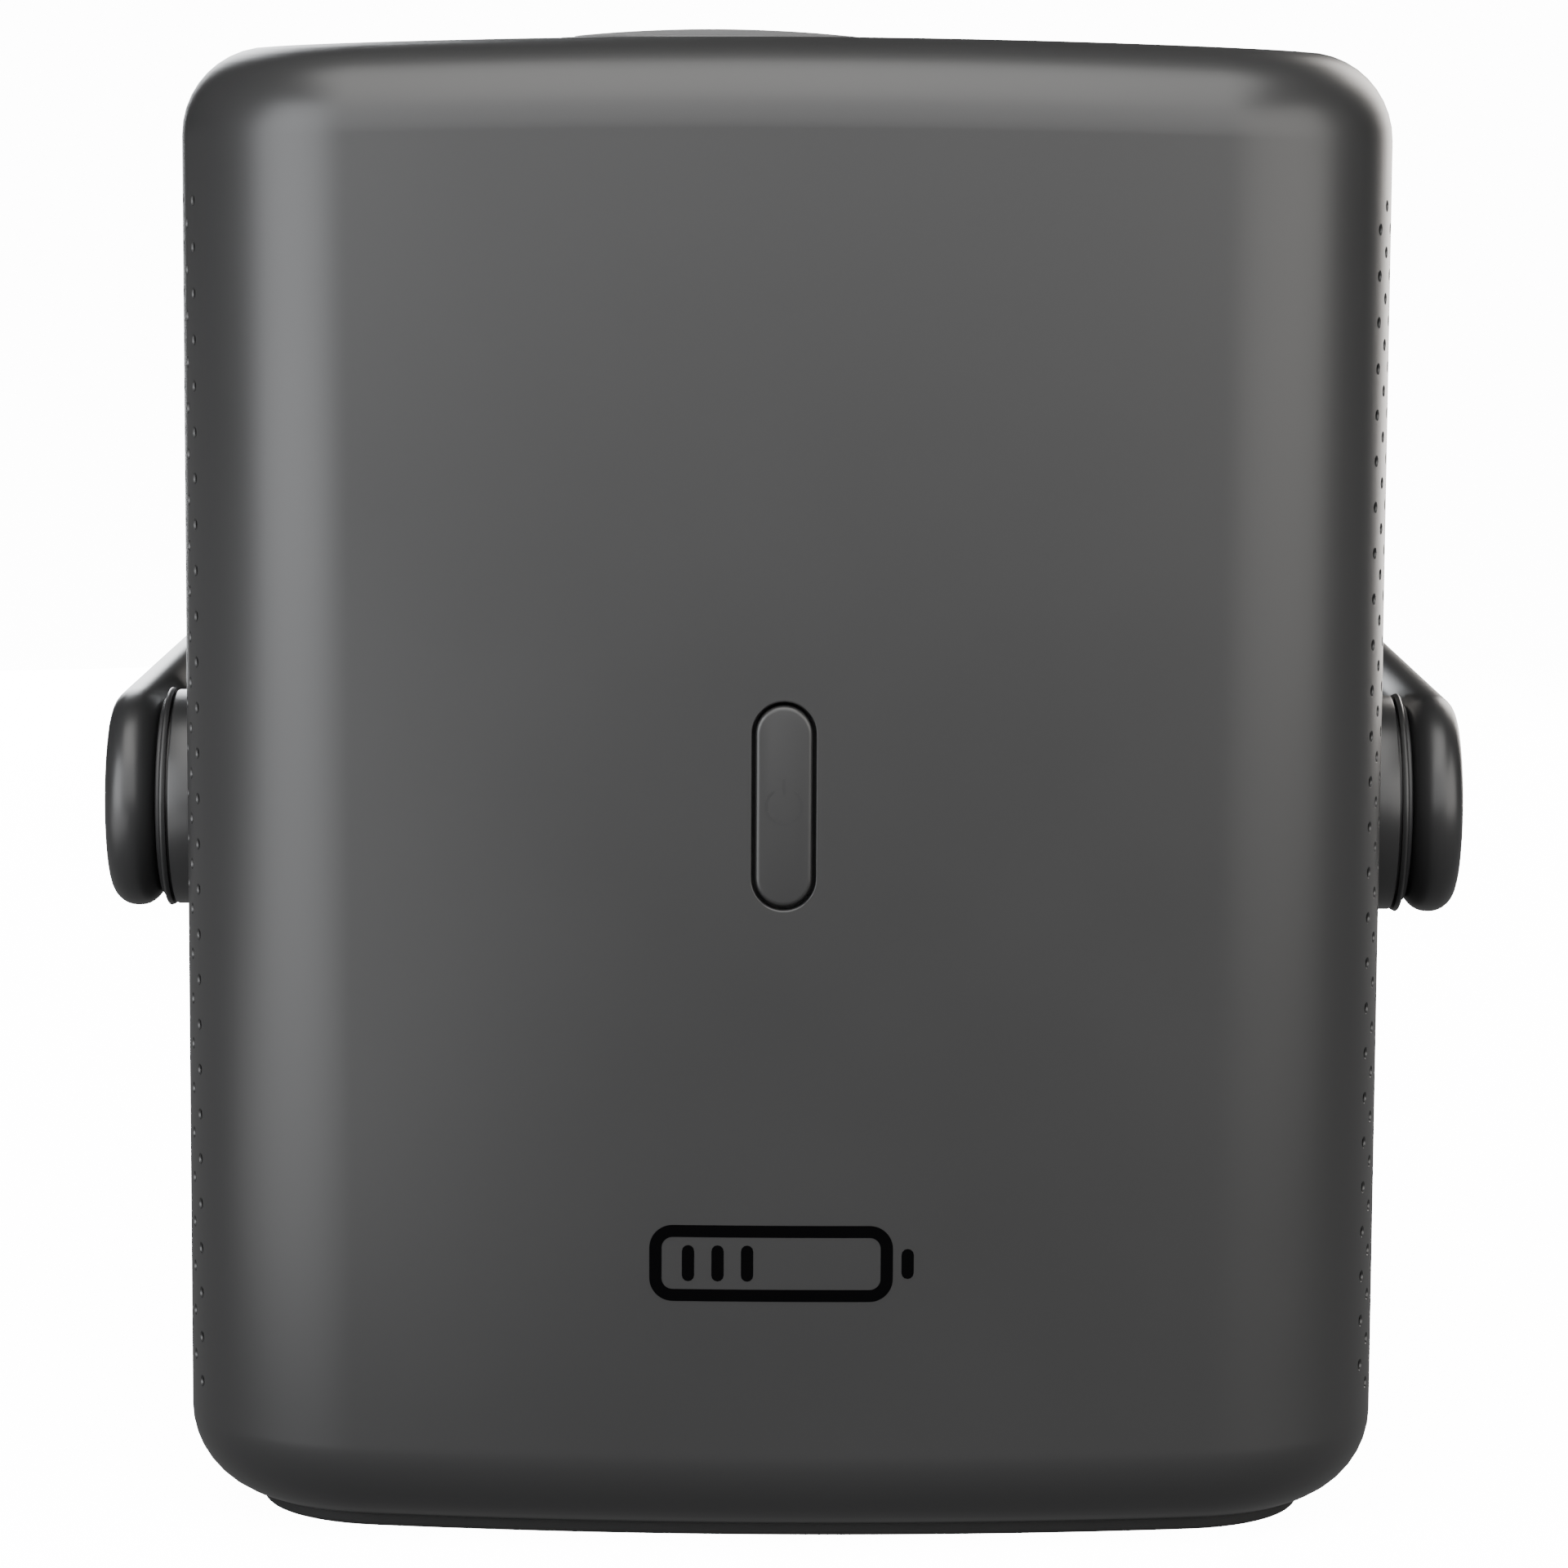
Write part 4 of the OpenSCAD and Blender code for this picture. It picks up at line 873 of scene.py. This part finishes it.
# %% Slot, seats and holes
button_low, button_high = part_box("power_button")
foot_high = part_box("base_foot")[1]
ring_low, ring_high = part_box("pad_ring")
BUTTON_Z = (button_low.z + button_high.z) / 2
BUTTON_SIZE = (9.2 * MM, 32.6 * MM)
BUTTON_GAP = 0.6 * MM
SLIP = 0.2 * MM
FOOT_SEAT = 1 * MM
FOOT_INSET = 12 * MM
SPIGOT_R = 11 * MM
SCREW_R = 1.5 * MM
MOUTH_R = 0.3 * MM


def flared_slot(width, height):
    """A pill-shaped cutter for the front face whose mouth is rounded outwards."""
    depths = [(0, WALL + 2 * MM), (0, MOUTH_R)]
    for a in np.linspace(0, math.pi / 2, 4)[1:]:
        depths.append((-MOUTH_R * (1 - math.cos(a)), MOUTH_R * (1 - math.sin(a))))
    depths.append((-MOUTH_R, -1 * MM))
    return plate("slot_cutter", (0, BUTTON_Z), (width, height), width / 2, depths,
                 lambda u, v, out: (u, FRONT_Y + out, v), "housing", steps=12)


def cylinder(name, centre, radius, low, high, turn, steps=48):
    return lathe(name, [(radius, low), (radius, high)],
                 lambda u, v, out: turn(centre[0] + u, centre[1] + v, out), "housing", steps)


def foot_rings(levels, shrink=0.0):
    """Rings of the housing's outline, moved inwards, at each (inset, height)."""
    loop = front_path[:-1] + rear_path
    return [[(*(p - n * (FOOT_INSET - shrink + inset)), z) for p, n in loop[:-1]] for inset, z in levels]


def foot_cutter():
    rings = foot_rings([(0, FLOOR_Z - 1 * MM), (0, FLOOR_Z + FOOT_SEAT)], SLIP)
    return add_piece("foot_cutter", *loft(rings), "housing")


pad_centre = ((ring_low.x + ring_high.x) / 2, (ring_low.y + ring_high.y) / 2)
pad_r = (ring_high.x - ring_low.x) / 2
screws_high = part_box("foot_screws")[1]
SCREW_HEAD_R = 2.8 * MM
foot_screw_at = (screws_high.x - SCREW_HEAD_R, screws_high.y - SCREW_HEAD_R)
cuts = hole_cutters + [
    flared_slot(BUTTON_SIZE[0] + 2 * BUTTON_GAP, BUTTON_SIZE[1] + 2 * BUTTON_GAP),
    cylinder("pad_seat", pad_centre, pad_r + SLIP, ring_low.z, TOP_Z + 5 * MM, facing_up, 96),
    foot_cutter(),
]
for side in (-1, 1):
    cuts.append(cylinder("hub_hole", (PIVOT.y, PIVOT.z), SPIGOT_R + 0.1 * MM, HALF_W - WALL - 3 * MM,
                         HALF_W + 3 * MM, lambda u, v, out, s=side: (s * out, u, v)))
    cuts.append(cylinder("foot_hole", (side * foot_screw_at[0], -foot_screw_at[1]), SCREW_R,
                         0, FLOOR_Z + WALL + 1 * MM, facing_up, 24))
combine(front_housing, cuts)
print(len(front_housing.data.polygons), "faces with the holes")

# %% [markdown]
# The holes leave long thin faces, and averaged normals would show as stars round every hole. The
# shape is a rule, so its true normals are known: this cell works them out for every point that
# lies on the outer skin and gives them to the mesh.

# %% True normals on the outer skin


def skin_normals(points):
    """Outward normals of the housing at points near its skin, and how far each is from the skin."""
    x, y, z = points.T
    side = np.where(x < 0, -1.0, 1.0)
    across = np.abs(x)

    def towards(cx, cy, radius):
        dx, dy = across - cx, y - cy
        d = np.maximum(np.hypot(dx, dy), 1e-12)
        return radius - d, dx / d, dy / d

    flat = np.ones_like(x)
    zero = np.zeros_like(x)
    choices = [(HALF_W - across, flat, zero), (REAR_Y - y, zero, flat), towards(0, BULGE_Y, BULGE_R)]
    nearest = np.argmin([c[0] for c in choices], axis=0)
    inset, nx, ny = [np.choose(nearest, [c[k] for c in choices]) for k in range(3)]
    steep = across * (BULGE_Y - FRONT_CORNER_Y) > CORNER_X * (BULGE_Y - y)
    for zone, cy in (((y < FRONT_CORNER_Y) & steep, FRONT_CORNER_Y),
                     ((y > REAR_CORNER_Y) & (across > CORNER_X), REAR_CORNER_Y)):
        corner = towards(CORNER_X, cy, CORNER_R)
        inset, nx, ny = [np.where(zone, c, old) for c, old in zip(corner, (inset, nx, ny))]
    push = np.clip(EDGE_R - inset, 0, None)
    centre = across - nx * push                   # where the crown is read
    drop = fall(centre)
    slope = 2 * drop / np.maximum(centre, 1e-9)
    shrink = 1 - drop / (HIGH_Z - LOW_Z)
    straight = (z - LOW_Z) / shrink + LOW_Z       # the height before the crown lowered it
    z = np.where(z > HIGH_Z - drop, z + drop, np.where(z > LOW_Z, straight, z))
    rise = np.clip(z - HIGH_Z, 0, None) + np.clip(z - LOW_Z, None, 0)
    normal = np.stack((nx * push, ny * push, rise), axis=1)
    length = np.maximum(np.linalg.norm(normal, axis=1), 1e-12)
    normal /= length[:, None]
    tilt = np.clip(normal[:, 2], 0, None) * slope
    inner = push < 1e-9
    normal[:, 0] += np.where(inner, tilt, tilt * ny * ny)
    normal[:, 1] += np.where(inner, 0, -tilt * nx * ny)
    normal[:, 0] *= side
    return normal / np.linalg.norm(normal, axis=1)[:, None], length - EDGE_R


def give_true_normals(piece, tolerance=0.03 * MM, agree=0.9):
    mesh = piece.data
    smooth(mesh)
    points = np.empty(len(mesh.vertices) * 3)
    mesh.vertices.foreach_get("co", points)
    true, away = skin_normals(points.reshape(-1, 3))
    corners = np.array([c.vector for c in mesh.corner_normals])
    changed = 0
    for face in mesh.polygons:
        vertices = [mesh.loops[i].vertex_index for i in face.loop_indices]
        facing = true[vertices[0]] @ np.array(face.normal)
        if facing > agree and all(abs(away[v]) < tolerance for v in vertices):
            for i, v in zip(face.loop_indices, vertices):
                corners[i] = true[v]
            changed += 1
    mesh.normals_split_custom_set([tuple(c) for c in corners])
    return changed


print(give_true_normals(front_housing), "faces on the skin of the front housing")
finished(front_housing, "station", "housing", "front_housing")

# %% [markdown]
# ## Handle
# The band is one section, softly rounded along both long edges, swept along a U. At each end the
# section turns half a circle about the pivot, so the end is round.

# %% Sweep of the handle
handle_low, handle_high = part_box("handle")
BAND_W = handle_high.z - handle_low.z
BAND_T = 8.8 * MM
BAND_EDGE = 4.2 * MM
INNER_CORNER = 40 * MM
EDGE_ARC = 8
outer_x = handle_high.x
inner_x = outer_x - BAND_T
reach = handle_high.y


def half_section():
    """(thickness from the inner face, distance from the band's middle) from the outer face to the inner."""
    h = BAND_W / 2
    points = [(BAND_T, v) for v in np.linspace(0, h - BAND_EDGE, 5)[:-1]]
    points += [(BAND_T - BAND_EDGE + BAND_EDGE * math.cos(a), h - BAND_EDGE + BAND_EDGE * math.sin(a))
               for a in np.linspace(0, math.pi / 2, EDGE_ARC + 1)]
    points += [(BAND_EDGE - BAND_EDGE * math.sin(a), h - BAND_EDGE + BAND_EDGE * math.cos(a))
               for a in np.linspace(0, math.pi / 2, EDGE_ARC + 1)]
    points += [(0, v) for v in np.linspace(h - BAND_EDGE, 0, 5)[1:]]
    return points


def handle_band():
    half = half_section()
    section = half + [(t, -v) for t, v in half[-2:0:-1]]
    arm_y = reach - BAND_T - INNER_CORNER
    stations = []                       # (inner face point, outward direction)
    for y in np.linspace(0, arm_y, 9)[:-1]:
        stations.append(((inner_x, y), (1, 0)))
    centre = (inner_x - INNER_CORNER, arm_y)
    for a in np.linspace(0, math.pi / 2, 17):
        c, s = math.cos(a), math.sin(a)
        stations.append(((centre[0] + INNER_CORNER * c, centre[1] + INNER_CORNER * s), (c, s)))
    for x in np.linspace(centre[0], 0, 6)[1:]:
        stations.append(((x, reach - BAND_T), (0, 1)))
    stations += [((-p[0], p[1]), (-d[0], d[1])) for p, d in stations[-2::-1]]
    rings = [[(p[0] + d[0] * t, p[1] + d[1] * t, PIVOT.z + v) for t, v in section] for p, d in stations]
    points, faces = loft(rings, capped=False)
    for side in (1, -1):
        fan = []
        for a in np.linspace(math.pi / 2, -math.pi / 2, 33):
            fan.append([(side * (inner_x + t), -v * math.cos(a), PIVOT.z + v * math.sin(a)) for t, v in half])
        start = len(points)
        count = len(half)
        points += [p for row in fan for p in row]
        for i in range(len(fan) - 1):
            for j in range(count - 1):
                a, b = start + i * count + j, start + (i + 1) * count + j
                faces.append((a, a + 1, b + 1, b))
    return points, faces


handle = add_piece("handle_band", *handle_band(), "handle")
cap_low, cap_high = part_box("right_pivot_cap")
cap_r = (cap_high.z - cap_low.z) / 2
PIN_R = 4.06 * MM
SEAT_MOUTH = 0.25 * MM
SCREW_WELL_R = 8.3 * MM
SCREW_WELL_DEPTH = 2.9 * MM
seats = []
for side in (-1, 1):
    well_floor = cap_low.x - SCREW_WELL_DEPTH
    seat_r = cap_r + 0.05 * MM
    profile = [(PIN_R, inner_x - 1 * MM), (PIN_R, well_floor), (SCREW_WELL_R, well_floor),
               (SCREW_WELL_R, cap_low.x), (seat_r, cap_low.x), (seat_r, outer_x - SEAT_MOUTH),
               (seat_r + SEAT_MOUTH, outer_x), (cap_r + 2 * MM, outer_x + 1 * MM)]
    seats.append(lathe("pivot_seat", profile, about_x(PIVOT, side), "handle", 64))
grip_low, grip_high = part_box("handle_grip")
grip_size = (grip_high.x - grip_low.x, grip_high.z - grip_low.z)
GRIP_GAP = 0.3 * MM
seat_size = (grip_size[0] + GRIP_GAP, grip_size[1] + GRIP_GAP)
seat_depths = [(0, grip_low.y - 2 * MM), (0, grip_high.y)]
seats.append(plate("grip_seat", (0, PIVOT.z), seat_size, grip_size[1] / 2, seat_depths,
                   facing_rear, "handle", 12))
combine(handle, seats)
smooth(handle.data)
finished(handle, "carry_handle", "handle", "handle")
print(len(handle.data.polygons), "faces on the handle")

# %% [markdown]
# The cap over each pivot screw is a thin button, slightly domed. The hub is turned: a barrel, a
# fine groove and a thin collar, which catch the light as separate rings, and then the dark washer
# that gives the hinge its friction.

# %% Hubs, washers and caps


def pivot_cap(name, side):
    profile = [(0.01 * MM, cap_low.x), (cap_r, cap_low.x)]
    for a in np.linspace(0, math.pi / 2, 5):
        profile.append((cap_r - 0.4 * MM * (1 - math.cos(a)), cap_high.x - 0.4 * MM + 0.4 * MM * math.sin(a)))
    profile += [(cap_r * k, cap_high.x + 0.15 * MM * (1 - k * k)) for k in (0.7, 0.4, 0.001)]
    return lathe(name, profile, about_x(PIVOT, side), "handle")


hub_low, hub_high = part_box("right_pivot_hub")
washer_low, washer_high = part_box("right_friction_washer")
HUB_R = (hub_high.z - hub_low.z) / 2


def pivot_hub(name, side):
    """The profile starts at the bore inside the wall and comes back to it at the outer face."""
    bore, start, end = PIN_R, hub_low.x, hub_high.x
    barrel = HUB_R - 0.35 * MM
    groove = HUB_R - 1.6 * MM
    collar = end - 1.0 * MM
    profile = [(bore, start), (SPIGOT_R, start), (SPIGOT_R, HALF_W), (barrel, HALF_W),
               (barrel, collar - 0.75 * MM),
               (barrel - 0.12 * MM, collar - 0.5 * MM), (barrel - 0.4 * MM, collar - 0.4 * MM),
               (groove, collar - 0.4 * MM), (groove, collar - 0.02 * MM), (HUB_R - 0.25 * MM, collar)]
    for a in np.linspace(0, math.pi / 2, 7):
        profile.append((HUB_R - 0.45 * MM * (1 - math.cos(a)), end - 0.45 * MM + 0.45 * MM * math.sin(a)))
    profile.append((bore, end))
    return lathe(name, profile, about_x(PIVOT, side), "handle", 96, closed=True)


def friction_washer(name, side):
    r = (washer_high.z - washer_low.z) / 2 - 1.2 * MM
    low, high = washer_low.x, washer_high.x
    profile = [(PIN_R + 0.1 * MM, low), (r - 0.2 * MM, low), (r, low + 0.2 * MM), (r, high - 0.2 * MM),
               (r - 0.2 * MM, high), (PIN_R + 0.1 * MM, high)]
    return lathe(name, profile, about_x(PIVOT, side), "black_plastic", 96, closed=True)


for word, side in (("left", -1), ("right", 1)):
    finished(pivot_cap(f"{word}_cap", side), "carry_handle", "handle", f"{word}_pivot_cap")
    finished(pivot_hub(f"{word}_hub", side), "station", "handle", f"{word}_pivot_hub")
    finished(friction_washer(f"{word}_washer", side), "station", "black_plastic", f"{word}_friction_washer")
print("hub radius", round(HUB_R / MM, 2), "mm")

# %% [markdown]
# ## Power button
# A long pill in the same plastic as the housing. Its edge is well rounded, so the upper end shows
# as a bright crescent under the dark gap. The ring and bar of the power sign are a thin inlay,
# only a shade darker than the plastic.

# %% Power button
BUTTON_EDGE = 0.8 * MM
BUTTON_SUNK = 0.08 * MM


def facing_front(u, v, out):
    """Out is measured from the front of the housing, towards the viewer."""
    return (u, FRONT_Y - out, v)


def power_button():
    levels = edge_levels(-(button_high.y - FRONT_Y), -BUTTON_SUNK, BUTTON_EDGE, steps=6)
    return plate("power_button_cap", (0, BUTTON_Z), BUTTON_SIZE, BUTTON_SIZE[0] / 2, levels,
                 facing_front, "housing", 14)


def stroke(path, width, turn, out, thick, round_steps=5):
    """A flat stroke with round ends along a path of points: one closed ribbon."""
    path = [np.array(p, float) for p in path]
    left, right = [], []
    for i, p in enumerate(path):
        ahead = path[min(i + 1, len(path) - 1)] - path[max(i - 1, 0)]
        ahead /= np.linalg.norm(ahead)
        normal = np.array((-ahead[1], ahead[0]))
        if i == 0:
            for a in np.linspace(-math.pi / 2, math.pi / 2, round_steps + 2)[1:-1]:
                left.append(p + width / 2 * (normal * math.sin(a) - ahead * math.cos(a)))
        left.append(p + normal * width / 2)
        right.append(p - normal * width / 2)
        if i == len(path) - 1:
            for a in np.linspace(math.pi / 2, -math.pi / 2, round_steps + 2)[1:-1]:
                left.append(p + width / 2 * (normal * math.sin(a) + ahead * math.cos(a)))
    outline = left + right[::-1]
    return [[turn(u, v, out) for u, v in outline], [turn(u, v, out + thick) for u, v in outline]]


def strokes(name, paths, width, turn, out, thick, finish):
    points, faces = [], []
    for path in paths:
        more, rings = loft(stroke(path, width, turn, out, thick))
        faces += [tuple(i + len(points) for i in face) for face in rings]
        points += more
    return add_piece(name, points, faces, finish)


def arc_path(centre, radius, start, end, steps=24):
    return [(centre[0] + radius * math.cos(math.radians(a)), centre[1] + radius * math.sin(math.radians(a)))
            for a in np.linspace(start, end, steps + 1)]


finished(power_button(), "front_button", "housing", "power_button")
power_sign = strokes(
    "power_sign",
    [arc_path((0, BUTTON_Z), 2.9 * MM, 125, 415), [(0, BUTTON_Z + 2.2 * MM), (0, BUTTON_Z + 4.3 * MM)]],
    0.42 * MM, facing_front, -BUTTON_SUNK - 0.05 * MM, 0.07 * MM, "handle",
)
finished(power_sign, "front_button", "handle")
print("button", [round(v / MM, 1) for v in BUTTON_SIZE], "mm")

# %% [markdown]
# The printed sign low on the front is a plain battery with its charge bars, in thick rounded black
# strokes. It follows the bulge, so its points are pushed back with the face.

# %% Printed battery sign
MARK_Z = 48.6 * MM
MARK_W = 43 * MM
MARK_H = 12.6 * MM
MARK_STROKE = 2 * MM
PRINT_T = 0.04 * MM


def on_bulge(u, v, out):
    return (u, BULGE_Y - math.sqrt((BULGE_R + out) ** 2 - u * u), v)


def finer(outline, parts=16):
    """The outline with its long top and bottom lines divided, so that they can follow a bulge."""
    result = []
    for (u, v), (u2, v2) in zip(outline, outline[1:] + outline[:1]):
        count = parts if abs(u2 - u) > 5 * MM else 1
        result += [(u + (u2 - u) * i / count, v + (v2 - v) * i / count) for i in range(count)]
    return result


def outline_band(width, height, radius, thickness, turn, out, thick):
    """A closed frame of even thickness round a rounded rectangle."""
    outer = finer(rounded_outline(width, height, radius, 12))
    inner = finer(rounded_outline(width - 2 * thickness, height - 2 * thickness, radius - thickness, 12))
    rings = [[turn(u, MARK_Z + v, level) for u, v in side]
             for side, level in ((outer, out), (outer, out + thick), (inner, out + thick), (inner, out))]
    return loft(rings, closed=True)


def battery_sign():
    body_w = MARK_W - 3.4 * MM
    frame_piece = add_piece(
        "battery_frame",
        *outline_band(body_w, MARK_H, 3.8 * MM, MARK_STROKE, lambda u, v, out: on_bulge(u - 1.7 * MM, v, out),
                      0.0, PRINT_T),
        "print",
    )
    bars = [[(x * MM, MARK_Z - 2.0 * MM), (x * MM, MARK_Z + 2.0 * MM)] for x in (-15.2, -10.4, -5.6)]
    knob = [[(MARK_W / 2 - 1 * MM, MARK_Z - 1.5 * MM), (MARK_W / 2 - 1 * MM, MARK_Z + 1.5 * MM)]]
    marks = strokes("battery_bars", bars + knob, MARK_STROKE, on_bulge, 0.0, PRINT_T, "print")
    return join("battery_sign", [frame_piece, marks])


finished(battery_sign(), "station", "black_plastic")
print("sign", round(MARK_W / MM, 1), "mm wide")

# %% [markdown]
# ## Charging pad
# A low rubber disc with a slight crown, in a thin ring of the housing's plastic. It is turned on
# a lathe like the hubs.

# %% Charging pad and its ring
pad_low, pad_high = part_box("charging_pad")


def on_pad(u, v, out):
    return (pad_centre[0] + u, pad_centre[1] + v, out)


def crowned_pad():
    r = (pad_high.x - pad_low.x) / 2
    crown = 240 * MM
    peak = pad_high.z
    def top(radius):
        return peak - (crown - math.sqrt(crown ** 2 - radius ** 2))
    edge = 0.35 * MM
    profile = [(0.01 * MM, pad_low.z), (r, pad_low.z), (r, top(r) - edge)]
    profile += [(r - edge * (1 - math.cos(a)), top(r) - edge + edge * math.sin(a))
                for a in np.linspace(0, 1.45, 5)[1:]]
    profile += [(k * (r - edge), top(k * (r - edge))) for k in np.linspace(0.96, 0.001, 14)]
    return lathe("crowned_pad", profile, on_pad, "pad", 96)


def pad_rim():
    low, high, edge = ring_low.z, ring_high.z, 0.5 * MM
    inner = pad_r - 2.4 * MM
    profile = [(inner, low), (pad_r, low)]
    profile += [(pad_r - edge * (1 - math.cos(a)), high - edge + edge * math.sin(a))
                for a in np.linspace(0, math.pi / 2, 6)]
    profile += [(inner + 0.3 * MM, high), (inner, high - 0.3 * MM)]
    return lathe("pad_rim", profile, on_pad, "housing", 96, closed=True)


finished(crowned_pad(), "station", "pad", "charging_pad")
finished(pad_rim(), "station", "housing", "pad_ring")
print("pad", round(2 * pad_r / MM, 1), "mm across")

# %% [markdown]
# ## Inside and at the back
# The other CAD pieces already have their right shapes, so they keep their meshes and only get a
# finish, by the material slot that the record gives each of them.

# %% Finishes for the CAD pieces
slot_of = {part["node"]: part["material_slot"] for part in frame["record"]["subparts"]}
for node, piece in frame["nodes"].items():
    piece.data.materials.clear()
    piece.data.materials.append(FINISH[slot_of[node]])
print(len(frame["nodes"]), "CAD pieces have a finish")

# %% [markdown]
# ## Rear cover
# The rear cover carries on the same skin. The recess for the port panel, the seats of its four
# screws and the foot's seat are cut from it.

# %% Rear cover
panel_low, panel_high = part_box("rear_panel")
panel_z = (panel_low.z + panel_high.z) / 2
panel_size = (panel_high.x - panel_low.x, panel_high.z - panel_low.z)
PANEL_R = 14 * MM
PANEL_T = 2.4 * MM
PANEL_MOUTH = 0.5 * MM
PANEL_LEDGE = 4.3 * MM
SEAT_RING_W = 2.5 * MM
SEAT_RING_T = 2.2 * MM
TUBE_R = 4.5 * MM
panel_back = panel_high.y - PANEL_T


def panel_cutter():
    size = (panel_size[0] + 2 * SLIP, panel_size[1] + 2 * SLIP)
    levels = [(PANEL_LEDGE, SPLIT_Y + 10 * MM), (PANEL_LEDGE, panel_back), (0, panel_back),
              (0, REAR_Y - PANEL_MOUTH)]
    for a in np.linspace(0, math.pi / 2, 5)[1:]:
        levels.append((-PANEL_MOUTH * (1 - math.cos(a)), REAR_Y - PANEL_MOUTH + PANEL_MOUTH * math.sin(a)))
    levels.append((-PANEL_MOUTH, REAR_Y + 1 * MM))
    return plate("panel_cutter", (0, panel_z), size, PANEL_R + SLIP, levels, facing_rear, "housing", 10)


wall_inside = REAR_Y - WALL + 0.2 * MM
ring_size = (panel_size[0] + 2 * SEAT_RING_W, panel_size[1] + 2 * SEAT_RING_W)
seat_ring = plate("panel_seat", (0, panel_z), ring_size, PANEL_R + 2 * MM,
                  [(0, panel_back - SEAT_RING_T), (0, wall_inside)], facing_rear, "housing", 10)
combine(rear_cover, [seat_ring], "UNION")
cover_screws_low, cover_screws_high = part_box("cover_screws")
screw_x = cover_screws_high.x - SCREW_HEAD_R
screw_zs = (cover_screws_low.z + SCREW_HEAD_R, cover_screws_high.z - SCREW_HEAD_R)
cover_cuts = [panel_cutter(), foot_cutter()]
screw_tubes = []
for x in (-screw_x, screw_x):
    for z in screw_zs:
        at = (x, z)
        screw_tubes.append(cylinder("screw_tube", at, TUBE_R, SPLIT_Y + 2 * MM, wall_inside, facing_rear))
        cover_cuts.append(cylinder("head_seat", at, SCREW_HEAD_R + 0.3 * MM,
                                   cover_screws_high.y - 2.2 * MM, REAR_Y + 1 * MM, facing_rear))
        cover_cuts.append(cylinder("shank_hole", at, SCREW_R + 0.2 * MM, SPLIT_Y + 1 * MM, REAR_Y,
                                   facing_rear, 24))
combine(rear_cover, screw_tubes, "UNION")
combine(rear_cover, cover_cuts)
print(give_true_normals(rear_cover), "faces on the skin of the rear cover")
finished(rear_cover, "station", "housing", "rear_cover")

# %% [markdown]
# ## Foot
# The foot is a thin rubber plate cut to the housing's outline, 12 mm inside it. Its lower edge is
# slightly rounded where it was moulded.

# %% Foot
def foot_plate():
    levels = [(0.9 * MM, 0.0), (0.5 * MM, 0.12 * MM), (0.2 * MM, 0.4 * MM), (0, 0.9 * MM), (0, foot_high.z)]
    return add_piece("foot_plate", *loft(foot_rings(levels)), "rubber")


foot = foot_plate()
wells = []
for x in (-foot_screw_at[0], foot_screw_at[0]):
    for y in (-foot_screw_at[1], foot_screw_at[1]):
        wells.append(cylinder("well", (x, y), SCREW_HEAD_R + 0.2 * MM, -1 * MM, 2.6 * MM, facing_up))
        wells.append(cylinder("hole", (x, y), SCREW_R + 0.2 * MM, 0.5 * MM, 5 * MM, facing_up, 24))
combine(foot, wells)
smooth(foot.data)
finished(foot, "station", "rubber", "base_foot")
print(len(foot.data.polygons), "faces on the foot")
